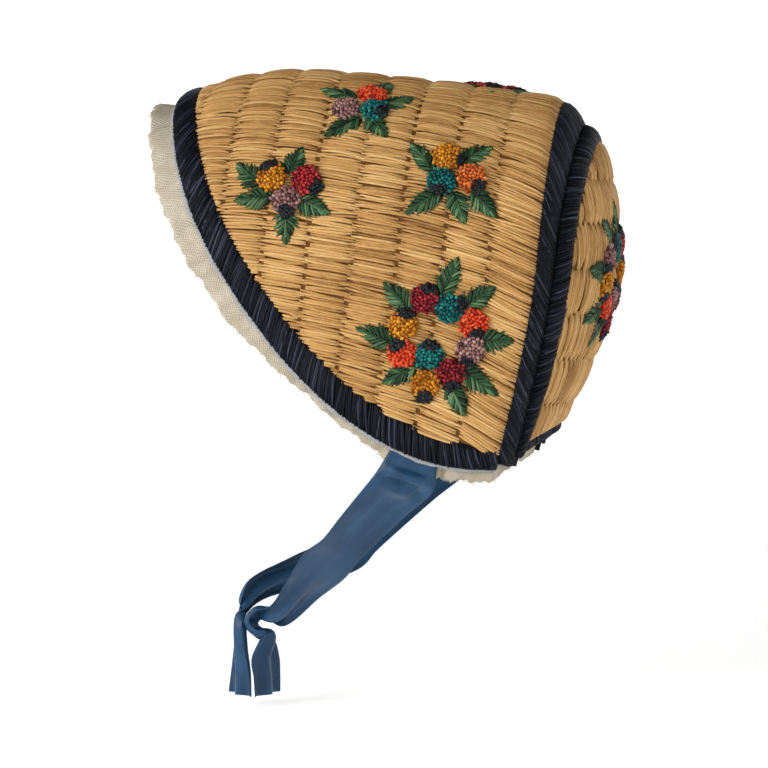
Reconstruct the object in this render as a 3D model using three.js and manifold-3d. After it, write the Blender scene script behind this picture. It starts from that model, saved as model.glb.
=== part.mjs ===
// Poke bonnet of embroidered raffia: an arched panel of eight ribbed columns, a domed back panel,
// navy borders along every edge, raised berry and leaf motifs, a gathered net ruffle inside the front
// edge and satin ties.
// Millimetres, +Z up, the face opening towards -Y and the wearer's left towards +X.
// The origin is the point inside the crown, on the middle plane, where the top of the head bears.
import * as THREE from "three";
import { mergeVertices } from "three/addons/utils/BufferGeometryUtils.js";
import Module from "manifold-3d";

const wasm = await Module();
wasm.setup();

// Arched panel: "along" runs back from the front edge at the top, and "down" runs round the arch from
// the middle.
const ARCH_RADIUS = 79;
const QUARTER_ARC = ARCH_RADIUS * Math.PI / 2;
const FRONT_Y = -93;
const SEAM_LEAN = Math.tan(THREE.MathUtils.degToRad(5));
const TOP_Z = 2;
const APEX_ALONG = 63;
const FRONT_SLOPE = { drop: 8.8, run: 52.7, power: 2 };
const BACK_SLOPE = { drop: 13, run: 112, power: 1.3 };
const PANEL_DEPTH = 197.5;
const SHOULDER = { length: 15, drop: 10, power: 2.2 };
const SIDE_TUCK = 0.05;
const BACK_SWEEP = { amount: 13.3, length: 102, power: 1.5 };
const COLUMNS = 8;
const COLUMN_START = 20.4;
const COLUMN_PITCH = 20.9;
const RIB_VALLEY = 1.7;
const RIB_CREST = 3;
const RIB_STEPS = [0, 0.22, 0.78];
const PIECE_GAP = 0.4;
const BAND_START = COLUMN_START + COLUMNS * COLUMN_PITCH + PIECE_GAP;
const SEAM_EASE = { amount: 2.6, from: 25, to: 110 };
const PANEL_GRID = { rows: 20, wallRows: 2, reach: 224, outlineSteps: 26 };

// Front and lower edge of the panel, from the top (0) over the lowest point to the back corner (1).
const EDGE_LOW = { along: 165, down: 220, share: 0.86, power: 2 / 1.8 };
const EDGE_CORNER = { along: 196.5, rise: 4 };
const EDGE_TOP = { inset: 2.2, from: 0.2, to: 0.6 };

// Borders, facing, ruffle and the navy bands of the back seam.
const BORDER = { width: 13.6, corner: 9, narrowFrom: 0.8, edge: 1.7, middle: 2.9, end: 0.96 };
const BORDER_STEPS = 54;
const SEAM_BAND = { edge: 1.8, middle: 3, down: 215, steps: 30 };
const FACING = { outside: 1.3, inside: 9, top: -0.3, thickness: 1 };
const RUFFLE = { inside: 6, top: -1.8, thickness: 1, waves: 27, wave: 2.4, ribbonRoom: 1.3 };
const RUFFLE_STEPS_PER_WAVE = 4;
const RUFFLE_WIDTHS = [
  { share: 0, width: 14.5 },
  { share: 0.12, width: 13 },
  { share: 0.3, width: 12 },
  { share: 0.46, width: 10.3 },
  { share: 0.56, width: 5.2 },
  { share: 0.64, width: 3.8 },
  { share: 0.74, width: 5.5 },
  { share: 0.92, width: 6 },
  { share: 1, width: 2 },
];
const RIBBON_PLACE = { from: 0.745, to: 0.84, fade: 0.03 };

// Domed back panel: x across and z up, standing behind the seam.
const CAP_RADIUS = ARCH_RADIUS - SHOULDER.drop;
const CAP_BULGE = 24;
const CAP_POWER = 0.75;
const CAP_LOW_REACH = 92;
const CAP_SET_BACK = -0.2;
const CAP_WALL = 2.5;
const CAP_RIM = 0.995;
const CAP_ARCH_SHARE = 0.5;
const CAP_BAND = 7.6;
const CAP_GRID = { rowHeight: 21, rows: 8, across: 8, overlap: 2, rimSteps: 30, lowSteps: 12 };
const NAPE = { corner: -180, rise: 8.5, half: 64, width: 8, endGap: 1, steps: 12 };

// Motifs stand on the crests of the ribs.
const MOTIF_GAP = 0.45;
const BERRY = { radius: 8, height: 4, sides: 6, step: 0.25, shoulder: 0.72, shoulderHeight: 0.76 };
const LEAF = { lift: 0.6, thickness: 1.3, tuck: 2.5, root: 2.4, belly: 4.4, tip: 0.5 };

// Satin ties.
const RIBBON = { thickness: 0.8, steps: 40 };

const FINISHES = {
  raffia: { color: 0xcda564, roughness: 0.55 },
  navy: { color: 0x1a1c2c, roughness: 0.45 },
  motif: { color: 0x8f3b2a, roughness: 0.6 },
  net: { color: 0xd9ccb0, roughness: 0.9 },
  facing: { color: 0xbec0cc, roughness: 0.85 },
  satin: { color: 0x3f6488, roughness: 0.35 },
};

const lerp = THREE.MathUtils.lerp;
const smoothstep = THREE.MathUtils.smoothstep;

// Height lost along the top line, measured from its highest point.
function topDrop(along) {
  const slope = along < APEX_ALONG ? FRONT_SLOPE : BACK_SLOPE;
  return slope.drop * Math.pow(Math.abs(along - APEX_ALONG) / slope.run, slope.power);
}

// Rounded shoulder that turns the panel inwards to meet the back panel.
function shoulderDrop(along) {
  const share = Math.max(0, (along - PANEL_DEPTH + SHOULDER.length) / SHOULDER.length);
  return SHOULDER.drop * Math.pow(share, SHOULDER.power);
}

// Loss of width of the seam band from the top to the sides.
function seamEase(reach) {
  return SEAM_EASE.amount * smoothstep(reach, SEAM_EASE.from, SEAM_EASE.to);
}

function backSweep(below) {
  return BACK_SWEEP.amount * Math.pow(below / BACK_SWEEP.length, BACK_SWEEP.power);
}

// Point of the arched wall; "out" is the distance outwards from the inside of the wall.
function wallPoint(along, down, out) {
  const reach = Math.abs(down);
  const angle = Math.min(reach, QUARTER_ARC) / ARCH_RADIUS;
  const below = Math.max(0, reach - QUARTER_ARC);
  const radius = ARCH_RADIUS - shoulderDrop(along) + out;
  const fall = ARCH_RADIUS * (1 - Math.cos(angle)) + below;
  const x = radius * Math.sin(angle) - SIDE_TUCK * below;
  const band = THREE.MathUtils.clamp((along - BAND_START) / (PANEL_DEPTH - BAND_START), 0, 1);
  const sweep = backSweep(below) * along / PANEL_DEPTH + seamEase(reach) * band;
  const y = FRONT_Y + along - SEAM_LEAN * fall - sweep;
  const z = TOP_Z - topDrop(along) - ARCH_RADIUS + radius * Math.cos(angle) - below;
  return new THREE.Vector3(Math.sign(down) * x, y, z);
}

// How much narrower the border is round the top.
function topNarrowing(share) {
  return EDGE_TOP.inset * (1 - smoothstep(Math.abs(share), EDGE_TOP.from, EDGE_TOP.to));
}

// Place on the front and lower edge, for a share from -1 (right corner) over 0 (top) to 1 (left corner).
function edgePlace(share) {
  const reach = Math.abs(share);
  const angle = Math.min(reach / EDGE_LOW.share, 1) * Math.PI / 2;
  const past = Math.max(0, (reach - EDGE_LOW.share) / (1 - EDGE_LOW.share));
  const sweep = EDGE_LOW.along * (1 - Math.pow(Math.max(0, Math.cos(angle)), EDGE_LOW.power));
  const along = sweep + (EDGE_CORNER.along - EDGE_LOW.along) * past + topNarrowing(reach);
  const down = EDGE_LOW.down * Math.sin(angle) - EDGE_CORNER.rise * past * past;
  return { along, down: Math.sign(share) * down };
}

// The same place moved into the panel by a distance: square to the edge, or straight up past the
// lowest point.
function edgeInset(share, inset) {
  const step = 0.004;
  const before = edgePlace(share - step);
  const after = edgePlace(share + step);
  const here = edgePlace(share);
  const run = after.along - before.along;
  const rise = Math.abs(share) > EDGE_LOW.share ? 0 : after.down - before.down;
  const length = Math.hypot(run, rise);
  return { along: here.along + inset * rise / length, down: here.down - inset * run / length };
}

// Closed wall made by bending a subdivided box: place(u, v, side, i, j) gives each corner of the grid.
function bentSheet(across, rows, place) {
  const geometry = new THREE.BoxGeometry(1, 1, 1, across, rows, 1);
  geometry.deleteAttribute("normal");
  geometry.deleteAttribute("uv");
  const positions = geometry.attributes.position;
  for (let k = 0; k < positions.count; k += 1) {
    const u = positions.getX(k) + 0.5;
    const v = positions.getY(k) + 0.5;
    const side = positions.getZ(k) + 0.5;
    const point = place(u, v, side, Math.round(u * across), Math.round(v * rows));
    positions.setXYZ(k, point.x, point.y, point.z);
  }
  return facingOut(mergeVertices(geometry, 1e-4));
}

function signedVolume(geometry) {
  const index = geometry.index;
  const corner = [0, 1, 2].map(() => new THREE.Vector3());
  let sum = 0;
  for (let k = 0; k < index.count; k += 3) {
    corner.forEach((point, c) => point.fromBufferAttribute(geometry.attributes.position, index.getX(k + c)));
    sum += corner[0].dot(corner[1].cross(corner[2])) / 6;
  }
  return sum;
}

// Turns the faces of a closed mesh round where the bending has left them pointing inwards.
function facingOut(geometry) {
  if (signedVolume(geometry) < 0) {
    const index = geometry.index;
    for (let k = 0; k < index.count; k += 3) {
      const first = index.getX(k);
      index.setX(k, index.getX(k + 1));
      index.setX(k + 1, first);
    }
  }
  return geometry;
}

function toSolid(geometry) {
  const mesh = new wasm.Mesh({
    numProp: 3,
    vertProperties: new Float32Array(geometry.attributes.position.array),
    triVerts: new Uint32Array(geometry.index.array),
  });
  return new wasm.Manifold(mesh);
}

function toGeometry(solid) {
  const mesh = solid.getMesh();
  const geometry = new THREE.BufferGeometry();
  geometry.setAttribute("position", new THREE.BufferAttribute(new Float32Array(mesh.vertProperties), 3));
  geometry.setIndex(new THREE.BufferAttribute(new Uint32Array(mesh.triVerts), 1));
  return geometry;
}

// Prism with a flat outline, drawn in two world directions and reaching "half" to both sides along
// the third.
function prism(outline, right, up, half) {
  const shape = new THREE.Shape(outline);
  const geometry = new THREE.ExtrudeGeometry(shape, { depth: 2 * half, bevelEnabled: false });
  geometry.deleteAttribute("normal");
  geometry.deleteAttribute("uv");
  const through = new THREE.Vector3().crossVectors(right, up);
  geometry.translate(0, 0, -half);
  geometry.applyMatrix4(new THREE.Matrix4().makeBasis(right, up, through));
  return toSolid(facingOut(mergeVertices(geometry, 1e-4)));
}

const AXIS_X = new THREE.Vector3(1, 0, 0);
const AXIS_Y = new THREE.Vector3(0, 1, 0);
const AXIS_Z = new THREE.Vector3(0, 0, 1);

// Width of the front border, narrower round the top and towards the back corners.
function borderWidth(share) {
  const fade = smoothstep(Math.abs(share), BORDER.narrowFrom, BORDER.end);
  return lerp(BORDER.width, BORDER.corner, fade) - topNarrowing(share);
}

// Place of a row round the arch: few rows on the straight walls and the rest on the curve between them.
function archRow(row) {
  const { rows, wallRows, reach } = PANEL_GRID;
  if (row < wallRows) {
    return lerp(-reach, -QUARTER_ARC, row / wallRows);
  }
  if (row > rows - wallRows) {
    return lerp(reach, QUARTER_ARC, (rows - row) / wallRows);
  }
  return lerp(-QUARTER_ARC, QUARTER_ARC, (row - wallRows) / (rows - 2 * wallRows));
}

// Ribbed wall of eight columns, cut to the line where the front border begins.
function sidePanel() {
  const start = COLUMN_START - COLUMN_PITCH;
  const steps = RIB_STEPS.length;
  const shell = bentSheet((COLUMNS + 1) * steps, PANEL_GRID.rows, (u, v, side, i, j) => {
    const column = Math.floor(i / steps);
    const within = RIB_STEPS[i % steps];
    const along = start + (column + within) * COLUMN_PITCH;
    const height = within === 0 ? RIB_VALLEY : RIB_CREST;
    return wallPoint(along, archRow(j), side * height);
  });
  const stations = PANEL_GRID.outlineSteps;
  const outline = [];
  for (let k = 0; k <= stations; k += 1) {
    const share = BORDER.end * k / stations;
    const place = edgeInset(share, borderWidth(share) + 2 * PIECE_GAP);
    const point = wallPoint(place.along, place.down, RIB_VALLEY / 2);
    outline.push(new THREE.Vector2(point.y, point.z));
  }
  const top = ARCH_RADIUS;
  const behind = PANEL_DEPTH;
  outline.push(new THREE.Vector2(behind, outline[stations].y));
  outline.push(new THREE.Vector2(behind, top));
  outline.push(new THREE.Vector2(outline[0].x, top));
  return toGeometry(toSolid(shell).intersect(prism(outline, AXIS_Y, AXIS_Z, 2 * ARCH_RADIUS)));
}

// Navy border along the front and lower edge, thicker in the middle of its width.
function frontBorder() {
  return bentSheet(BORDER_STEPS, 2, (u, v, side) => {
    const share = lerp(-BORDER.end, BORDER.end, u);
    const place = edgeInset(share, v * borderWidth(share));
    const height = lerp(BORDER.edge, BORDER.middle, Math.sin(Math.PI * v));
    return wallPoint(place.along, place.down, side * height);
  });
}

// Navy band that ends the arched panel at the back seam.
function sideSeamBand() {
  return bentSheet(SEAM_BAND.steps, 2, (u, v, side) => {
    const height = lerp(SEAM_BAND.edge, SEAM_BAND.middle, Math.sin(Math.PI * v));
    const along = lerp(BAND_START, PANEL_DEPTH, v);
    return wallPoint(along, lerp(-SEAM_BAND.down, SEAM_BAND.down, u), side * height);
  });
}

// Height of the middle of the back panel's arch.
const capCentre = TOP_Z - topDrop(PANEL_DEPTH) - ARCH_RADIUS;

// Half width of the back panel's outline at a height, and the depth of the seam there.
function capHalf(z) {
  const below = Math.max(0, capCentre - z);
  return CAP_RADIUS - SIDE_TUCK * below;
}

function seamDepth(z) {
  const below = Math.max(0, capCentre - z);
  const above = Math.max(0, z - capCentre);
  const fall = ARCH_RADIUS * (1 - above / CAP_RADIUS) + below;
  const reach = ARCH_RADIUS * Math.acos(Math.min(above / CAP_RADIUS, 1)) + below;
  return FRONT_Y + PANEL_DEPTH - SEAM_LEAN * fall - backSweep(below) - seamEase(reach);
}

// Depth of the dome behind the seam.
function capDepth(x, z) {
  const below = Math.max(0, capCentre - z);
  const above = Math.max(0, z - capCentre);
  const across = 1 - (x * x + above * above) / Math.pow(capHalf(z), 2);
  const fade = 1 - Math.pow(below / CAP_LOW_REACH, 2);
  return seamDepth(z) + CAP_SET_BACK + CAP_BULGE * Math.pow(Math.max(0, across * fade), CAP_POWER);
}

// Point of the dome, moved outwards square to its surface.
function capPoint(x, z, out) {
  const step = 0.05;
  const inward = Math.sign(x) * -step;
  const slopeX = Math.sign(x) === 0 ? 0 : (capDepth(x + inward, z) - capDepth(x, z)) / inward;
  const drop = z > capCentre ? -step : step;
  const slopeZ = (capDepth(x, z + drop) - capDepth(x, z)) / drop;
  const normal = new THREE.Vector3(-slopeX, 1, -slopeZ).normalize();
  return new THREE.Vector3(x, capDepth(x, z), z).addScaledVector(normal, out);
}

function napeEdge(x) {
  return NAPE.corner + NAPE.rise * (1 - Math.pow(x / NAPE.half, 2));
}

// Place on the back panel's rim: share from -1 (right low corner) over the top to 1, inset from the rim.
function capRim(share, inset) {
  const reach = Math.abs(share);
  const angle = Math.min(reach / CAP_ARCH_SHARE, 1) * Math.PI / 2;
  const low = Math.max(0, reach / CAP_ARCH_SHARE - 1);
  const radius = CAP_RADIUS * CAP_RIM - inset;
  const drop = low * (capCentre - NAPE.corner);
  const z = capCentre + radius * Math.cos(angle) - drop;
  const x = radius * Math.sin(angle) - SIDE_TUCK * drop;
  return { x: Math.sign(share) * x, z };
}

// Navy band round the rim of the back panel.
function capBand() {
  return bentSheet(SEAM_BAND.steps, 2, (u, v, side) => {
    const place = capRim(lerp(-1, 1, u), v * CAP_BAND);
    const height = lerp(SEAM_BAND.edge, SEAM_BAND.middle, Math.sin(Math.PI * v));
    return capPoint(place.x, place.z, side * height);
  });
}

// Domed back panel of raffia rows that lie one above the other.
function backPanel() {
  const half = CAP_RADIUS - CAP_BAND + CAP_GRID.overlap;
  const top = capCentre + half;
  const steps = RIB_STEPS.length;
  const shell = bentSheet(CAP_GRID.across, CAP_GRID.rows * steps, (u, v, side, i, j) => {
    const within = RIB_STEPS[j % steps];
    const z = top - (Math.floor(j / steps) + within) * CAP_GRID.rowHeight;
    const x = lerp(-half, half, u);
    const height = within === 0 ? RIB_VALLEY : CAP_WALL;
    return new THREE.Vector3(x, capDepth(x, z) + side * height, z);
  });
  const stations = CAP_GRID.rimSteps;
  const outline = [];
  const inset = CAP_BAND + PIECE_GAP;
  for (let k = 0; k <= stations; k += 1) {
    const place = capRim(lerp(-1, 1, k / stations), inset);
    const floor = napeEdge(place.x) + NAPE.width + PIECE_GAP;
    if (place.z > floor) {
      outline.push(new THREE.Vector2(place.x, place.z));
    }
  }
  const lowSteps = CAP_GRID.lowSteps;
  const lowHalf = outline[outline.length - 1].x;
  for (let k = 0; k <= lowSteps; k += 1) {
    const x = lerp(lowHalf, -lowHalf, k / lowSteps);
    outline.push(new THREE.Vector2(x, napeEdge(x) + NAPE.width + PIECE_GAP));
  }
  return toGeometry(toSolid(shell).intersect(prism(outline, AXIS_X, AXIS_Z, 2 * PANEL_DEPTH)));
}

// Navy border along the nape, between the two ends of the rim band.
function napeBorder() {
  const corner = capRim(1, CAP_BAND + PIECE_GAP);
  const half = corner.x - NAPE.endGap;
  return bentSheet(NAPE.steps, 2, (u, v, side) => {
    const x = lerp(-half, half, u);
    const z = napeEdge(x) + v * NAPE.width;
    const height = lerp(SEAM_BAND.edge, CAP_WALL, Math.sin(Math.PI * v));
    return new THREE.Vector3(x, capDepth(x, z) + side * height, z);
  });
}

// Pale facing that shows as a narrow line outside the front border.
function edgeFacing() {
  return bentSheet(BORDER_STEPS, 1, (u, v, side) => {
    const share = lerp(-BORDER.end, BORDER.end, u);
    const place = edgeInset(share, lerp(-FACING.outside, FACING.inside, v));
    return wallPoint(place.along, place.down, FACING.top - (1 - side) * FACING.thickness);
  });
}

function ruffleWidth(share) {
  const reach = Math.abs(share);
  const next = RUFFLE_WIDTHS.findIndex((row) => row.share >= reach && row.share > 0);
  const from = RUFFLE_WIDTHS[next - 1];
  const to = RUFFLE_WIDTHS[next];
  return lerp(from.width, to.width, (reach - from.share) / (to.share - from.share));
}

// Room that the end of a tie takes between the facing and the ruffle.
function ribbonRoom(share) {
  const reach = Math.abs(share);
  const rise = smoothstep(reach, RIBBON_PLACE.from - RIBBON_PLACE.fade, RIBBON_PLACE.from);
  const fall = 1 - smoothstep(reach, RIBBON_PLACE.to, RIBBON_PLACE.to + RIBBON_PLACE.fade);
  return RUFFLE.ribbonRoom * rise * fall;
}

// Gathered ruffle: flat where it is sewn in, waved at its free edge.
function ruffle() {
  return bentSheet(RUFFLE.waves * RUFFLE_STEPS_PER_WAVE, 1, (u, v, side) => {
    const share = lerp(-1, 1, u) * (1 - 1e-3);
    const place = edgeInset(share, lerp(-ruffleWidth(share), RUFFLE.inside, v));
    const wave = RUFFLE.wave * (1 - v) * (Math.sin(2 * Math.PI * RUFFLE.waves * u) - 1) / 2;
    const out = RUFFLE.top + wave - ribbonRoom(share) - (1 - side) * RUFFLE.thickness;
    return wallPoint(place.along, place.down, out);
  });
}

// Berry: a low dome, given in the motif's own along, down and out directions.
function berry(along, down, lift) {
  const profile = [
    new THREE.Vector2(0, 0),
    new THREE.Vector2(BERRY.radius, 0),
    new THREE.Vector2(BERRY.radius * BERRY.shoulder, BERRY.height * BERRY.shoulderHeight),
    new THREE.Vector2(0, BERRY.height),
  ];
  const geometry = new THREE.LatheGeometry(profile, BERRY.sides);
  geometry.deleteAttribute("normal");
  geometry.deleteAttribute("uv");
  geometry.rotateX(Math.PI / 2);
  geometry.translate(along, down, lift);
  return closedMesh(geometry);
}

// Joins the shared corners of a turned profile and leaves out the empty triangles on its axis.
function closedMesh(geometry) {
  const merged = mergeVertices(geometry, 1e-4);
  const corners = [];
  for (let k = 0; k < merged.index.count; k += 3) {
    const triangle = [0, 1, 2].map((c) => merged.index.getX(k + c));
    if (new Set(triangle).size === 3) {
      corners.push(...triangle);
    }
  }
  merged.setIndex(corners);
  return merged;
}

// Leaf: a thin pointed blade whose root is tucked under the berries.
function leaf(root, tip) {
  const run = new THREE.Vector2(tip[0] - root[0], tip[1] - root[1]);
  const length = run.length();
  const way = run.divideScalar(length);
  const widths = [LEAF.root, LEAF.belly, LEAF.tip];
  return bentSheet(2, 1, (u, v, side, i) => {
    const forward = lerp(-LEAF.tuck, length, u);
    const aside = lerp(-1, 1, v) * widths[i];
    const a = root[0] + way.x * forward - way.y * aside;
    const d = root[1] + way.y * forward + way.x * aside;
    return new THREE.Vector3(a, d, LEAF.lift + side * LEAF.thickness);
  });
}

// Sprays and wreath: places of the berries, and root and tip of each leaf, along and down from the centre.
const FRONT_SPRAY = {
  berries: [[-7.5, -6], [9, -5.5], [0.5, 4.5]],
  leaves: [
    { root: [-14, -4], tip: [-25, -14] },
    { root: [1, -10], tip: [5, -22] },
    { root: [-8, 3], tip: [-24, 4] },
    { root: [9, 4], tip: [22, 9] },
    { root: [1.5, 11], tip: [2.5, 24.5] },
  ],
};
const CROWN_SPRAY = {
  berries: [[3, -10], [-7, 3], [6.5, 2]],
  leaves: [
    { root: [-6, -6.5], tip: [-21.5, -12] },
    { root: [6, -15], tip: [9, -26] },
    { root: [12, -4], tip: [23, -12] },
    { root: [-1, 9], tip: [-14.5, 21] },
    { root: [6, 8], tip: [15, 18] },
  ],
};
const BACK_SPRAY = {
  berries: [[-3, -11.5], [-4, 1], [9.5, -2.5]],
  leaves: [
    { root: [-10, -6], tip: [-21, -17] },
    { root: [5, -11], tip: [17, -21] },
    { root: [-5, 6.5], tip: [-19, 18] },
    { root: [3, 7], tip: [9, 19] },
    { root: [12, 5], tip: [23, 14] },
  ],
};
const WREATH = {
  berries: [
    [-10, -20], [2, -17], [14, -12], [14.5, 0], [8, 11.5], [-3, 18.5], [-4, 5], [-16.5, 6], [-18, -7],
  ],
  leaves: [
    { root: [-17, -15], tip: [-30, -25] },
    { root: [-2, -24], tip: [3, -41] },
    { root: [9, -19], tip: [21.5, -30] },
    { root: [20, -5], tip: [34, -7] },
    { root: [14, 10], tip: [32, 18.5] },
    { root: [9, 18], tip: [18.5, 30] },
    { root: [-11, 12], tip: [-23.5, 21] },
    { root: [-22, 2], tip: [-40, -3] },
  ],
};

// One motif: berries and leaves joined to one solid and laid on a surface.
function motif(design, onSurface) {
  const blades = design.leaves.map(({ root, tip }) => leaf(root, tip));
  const domes = design.berries.map(([along, down], k) => berry(along, down, (k % 3) * BERRY.step));
  const pieces = [...domes, ...blades].map((geometry) => toSolid(facingOut(layOn(geometry, onSurface))));
  return toGeometry(pieces.reduce((joined, piece) => joined.add(piece)));
}

function layOn(geometry, onSurface) {
  const positions = geometry.attributes.position;
  for (let k = 0; k < positions.count; k += 1) {
    const point = onSurface(positions.getX(k), positions.getY(k), positions.getZ(k));
    positions.setXYZ(k, point.x, point.y, point.z);
  }
  return geometry;
}

function onWall(along, down, side) {
  return (a, d, out) => wallPoint(along + a, side * (down + d), RIB_CREST + MOTIF_GAP + out);
}

function onCap(x, z) {
  return (a, d, out) => {
    const depth = capDepth(x + a, z - d) + CAP_WALL + MOTIF_GAP + out;
    return new THREE.Vector3(x + a, depth, z - d);
  };
}

// Ties: each row is a station of the left tie, with its front edge and its back edge.
const LEFT_TIE = [
  { front: [72.8, 19, -182.1], back: [72.7, 41.8, -187.5] },
  { front: [72, 11.4, -190.1], back: [70, 40, -196.1] },
  { front: [66, 2.6, -200.3], back: [57, 24.9, -209.2] },
  { front: [58, -6.6, -210.9], back: [43, 8.3, -224.3] },
  { front: [50, -15.1, -220.7], back: [34, -1.7, -233.9] },
  { front: [40, -25.9, -228.8], back: [26, -8.3, -241.5] },
  { front: [29, -36, -243.5], back: [12, -22.7, -252.4] },
  { front: [16, -47.7, -257.7], back: [2, -42.8, -268.1] },
  { front: [12, -54.4, -259.7], back: [-5, -54.1, -264.6] },
  { front: [11, -58.8, -264.3], back: [-7, -58.4, -269.4] },
  { front: [10, -58.3, -268.8], back: [-8, -58.1, -274] },
  { front: [9, -55, -272.3], back: [-9, -54.8, -277.5] },
  { front: [8, -50.2, -272.9], back: [-10, -50, -278.6] },
  { front: [8, -57.2, -284.3], back: [-13, -47.5, -284.9] },
  { front: [9, -56, -293], back: [-13, -47, -293.5] },
  { front: [9, -55.3, -302.5], back: [-13, -47, -302.5] },
];
const RIGHT_TIE_KNOT = [
  { front: [-22, -43, -236.5], back: [-17, -30, -249.5] },
  { front: [0, -60.1, -246.4], back: [-12, -53.8, -256] },
  { front: [8, -63.6, -254.9], back: [-8, -61.6, -259.6] },
  { front: [10, -65.2, -265], back: [-8, -63.9, -267.1] },
  { front: [10, -66.2, -276.8], back: [-8, -62.2, -279] },
  { front: [9, -67.4, -290.5], back: [-9, -58.9, -291.5] },
  { front: [9, -69.5, -302.5], back: [-9, -58.6, -302.5] },
];
const TIE_SHARED_ROWS = 6;
const TIE_SEWN = { inside: 6, outside: 4, out: -2.05 };

function toVector(place) {
  return new THREE.Vector3(...place);
}

// Stations where a tie is sewn in between the facing and the ruffle, on one side of the bonnet.
function sewnRows(side) {
  return [TIE_SEWN.inside, -TIE_SEWN.outside].map((inset) => {
    const ends = [RIBBON_PLACE.from, RIBBON_PLACE.to].map((share) => {
      const place = edgeInset(share, inset);
      return wallPoint(place.along, side * place.down, TIE_SEWN.out);
    });
    return { front: ends[0].toArray(), back: ends[1].toArray() };
  });
}

function mirrored(row) {
  const flip = ([x, y, z]) => [-x, y, z];
  return { front: flip(row.front), back: flip(row.back) };
}

// Flat tie between two edge curves that run through the stations.
function tie(rows) {
  const front = new THREE.CatmullRomCurve3(rows.map((row) => toVector(row.front)), false, "centripetal");
  const back = new THREE.CatmullRomCurve3(rows.map((row) => toVector(row.back)), false, "centripetal");
  return bentSheet(RIBBON.steps, 1, (u, v, side) => {
    const nose = front.getPoint(u);
    const tail = back.getPoint(u);
    const ahead = front.getTangent(u).add(back.getTangent(u));
    const normal = new THREE.Vector3().subVectors(tail, nose).cross(ahead).normalize();
    return nose.lerp(tail, v).addScaledVector(normal, (side - 0.5) * RIBBON.thickness);
  });
}

function piece(name, geometry, finish) {
  const material = new THREE.MeshStandardMaterial({ ...finish, metalness: 0 });
  const mesh = new THREE.Mesh(geometry, material);
  mesh.name = name;
  return mesh;
}

const bonnet = new THREE.Group();
bonnet.add(piece("side_panel", sidePanel(), FINISHES.raffia));
bonnet.add(piece("back_panel", backPanel(), FINISHES.raffia));
bonnet.add(piece("front_border", frontBorder(), FINISHES.navy));
bonnet.add(piece("side_seam_band", sideSeamBand(), FINISHES.navy));
bonnet.add(piece("back_seam_band", capBand(), FINISHES.navy));
bonnet.add(piece("nape_border", napeBorder(), FINISHES.navy));
bonnet.add(piece("edge_facing", edgeFacing(), FINISHES.facing));
bonnet.add(piece("ruffle", ruffle(), FINISHES.net));

const SIDE_MOTIFS = [
  { name: "front_spray", design: FRONT_SPRAY, along: 70.5, down: 104.5 },
  { name: "crown_spray", design: CROWN_SPRAY, along: 98.5, down: 55 },
  { name: "back_spray", design: BACK_SPRAY, along: 145.5, down: 91.5 },
  { name: "side_wreath", design: WREATH, along: 150, down: 166 },
];
const TOP_SPRAY_ALONG = 153;
const BACK_WREATH = { x: 15, z: -100 };
for (const { suffix, side } of [{ suffix: "left", side: 1 }, { suffix: "right", side: -1 }]) {
  for (const { name, design, along, down } of SIDE_MOTIFS) {
    const geometry = motif(design, onWall(along, down, side));
    bonnet.add(piece(`${name}_${suffix}`, geometry, FINISHES.motif));
  }
}
bonnet.add(piece("top_spray", motif(FRONT_SPRAY, onWall(TOP_SPRAY_ALONG, 0, 1)), FINISHES.motif));
bonnet.add(piece("back_wreath", motif(WREATH, onCap(BACK_WREATH.x, BACK_WREATH.z)), FINISHES.motif));

const rightRows = [...sewnRows(-1), ...LEFT_TIE.slice(0, TIE_SHARED_ROWS).map(mirrored), ...RIGHT_TIE_KNOT];
bonnet.add(piece("left_tie", tie([...sewnRows(1), ...LEFT_TIE]), FINISHES.satin));
bonnet.add(piece("right_tie", tie(rightRows), FINISHES.satin));

export default bonnet;
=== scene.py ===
"""Poke bonnet of embroidered raffia, dressed and lit.

Shapes are worked out in millimetres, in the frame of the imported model: +Z up, the front opening
towards -Y and the left side towards +X. They become metres when a mesh is made.
"""
import logging
import math
from dataclasses import dataclass, field
from enum import Enum
from functools import cache
from typing import Callable

import bmesh
import bpy
import numpy as np
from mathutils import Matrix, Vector


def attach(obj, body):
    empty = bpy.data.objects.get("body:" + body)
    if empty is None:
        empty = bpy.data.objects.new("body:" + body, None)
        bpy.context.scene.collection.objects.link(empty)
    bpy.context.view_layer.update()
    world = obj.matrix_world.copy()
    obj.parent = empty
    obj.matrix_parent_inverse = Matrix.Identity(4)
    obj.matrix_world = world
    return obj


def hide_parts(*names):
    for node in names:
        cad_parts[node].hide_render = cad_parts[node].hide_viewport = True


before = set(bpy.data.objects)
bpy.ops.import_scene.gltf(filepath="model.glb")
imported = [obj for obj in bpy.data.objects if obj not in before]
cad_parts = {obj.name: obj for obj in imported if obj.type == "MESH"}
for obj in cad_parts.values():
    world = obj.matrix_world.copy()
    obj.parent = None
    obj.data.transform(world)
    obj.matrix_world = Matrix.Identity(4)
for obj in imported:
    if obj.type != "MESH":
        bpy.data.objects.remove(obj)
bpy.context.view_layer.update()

LOG = logging.getLogger("bonnet")
MM = 0.001
BODY = "root"
UV_NAME = "UVMap"
TONE_NAME = "tone"
GOLDEN_ANGLE = math.pi * (3.0 - math.sqrt(5.0))
MM_PER_UV = 10.0
UV_SHIFT = 0.37
UV_SHIFT_ALONG = 3.1
STRAND_SIDES = 5
PAD_SIDES = 12
TIE_PLACE = (0.745, 0.84)

Array = np.ndarray
Colour = tuple[float, float, float]  # linear, from 0 to 1
Tint = tuple[int, int, int]  # sRGB, from 0 to 255
Pair = tuple[float, float]
Wave = tuple[float, float, float]  # height, turns and phase
Random = np.random.Generator
Socket = bpy.types.NodeSocket


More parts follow.
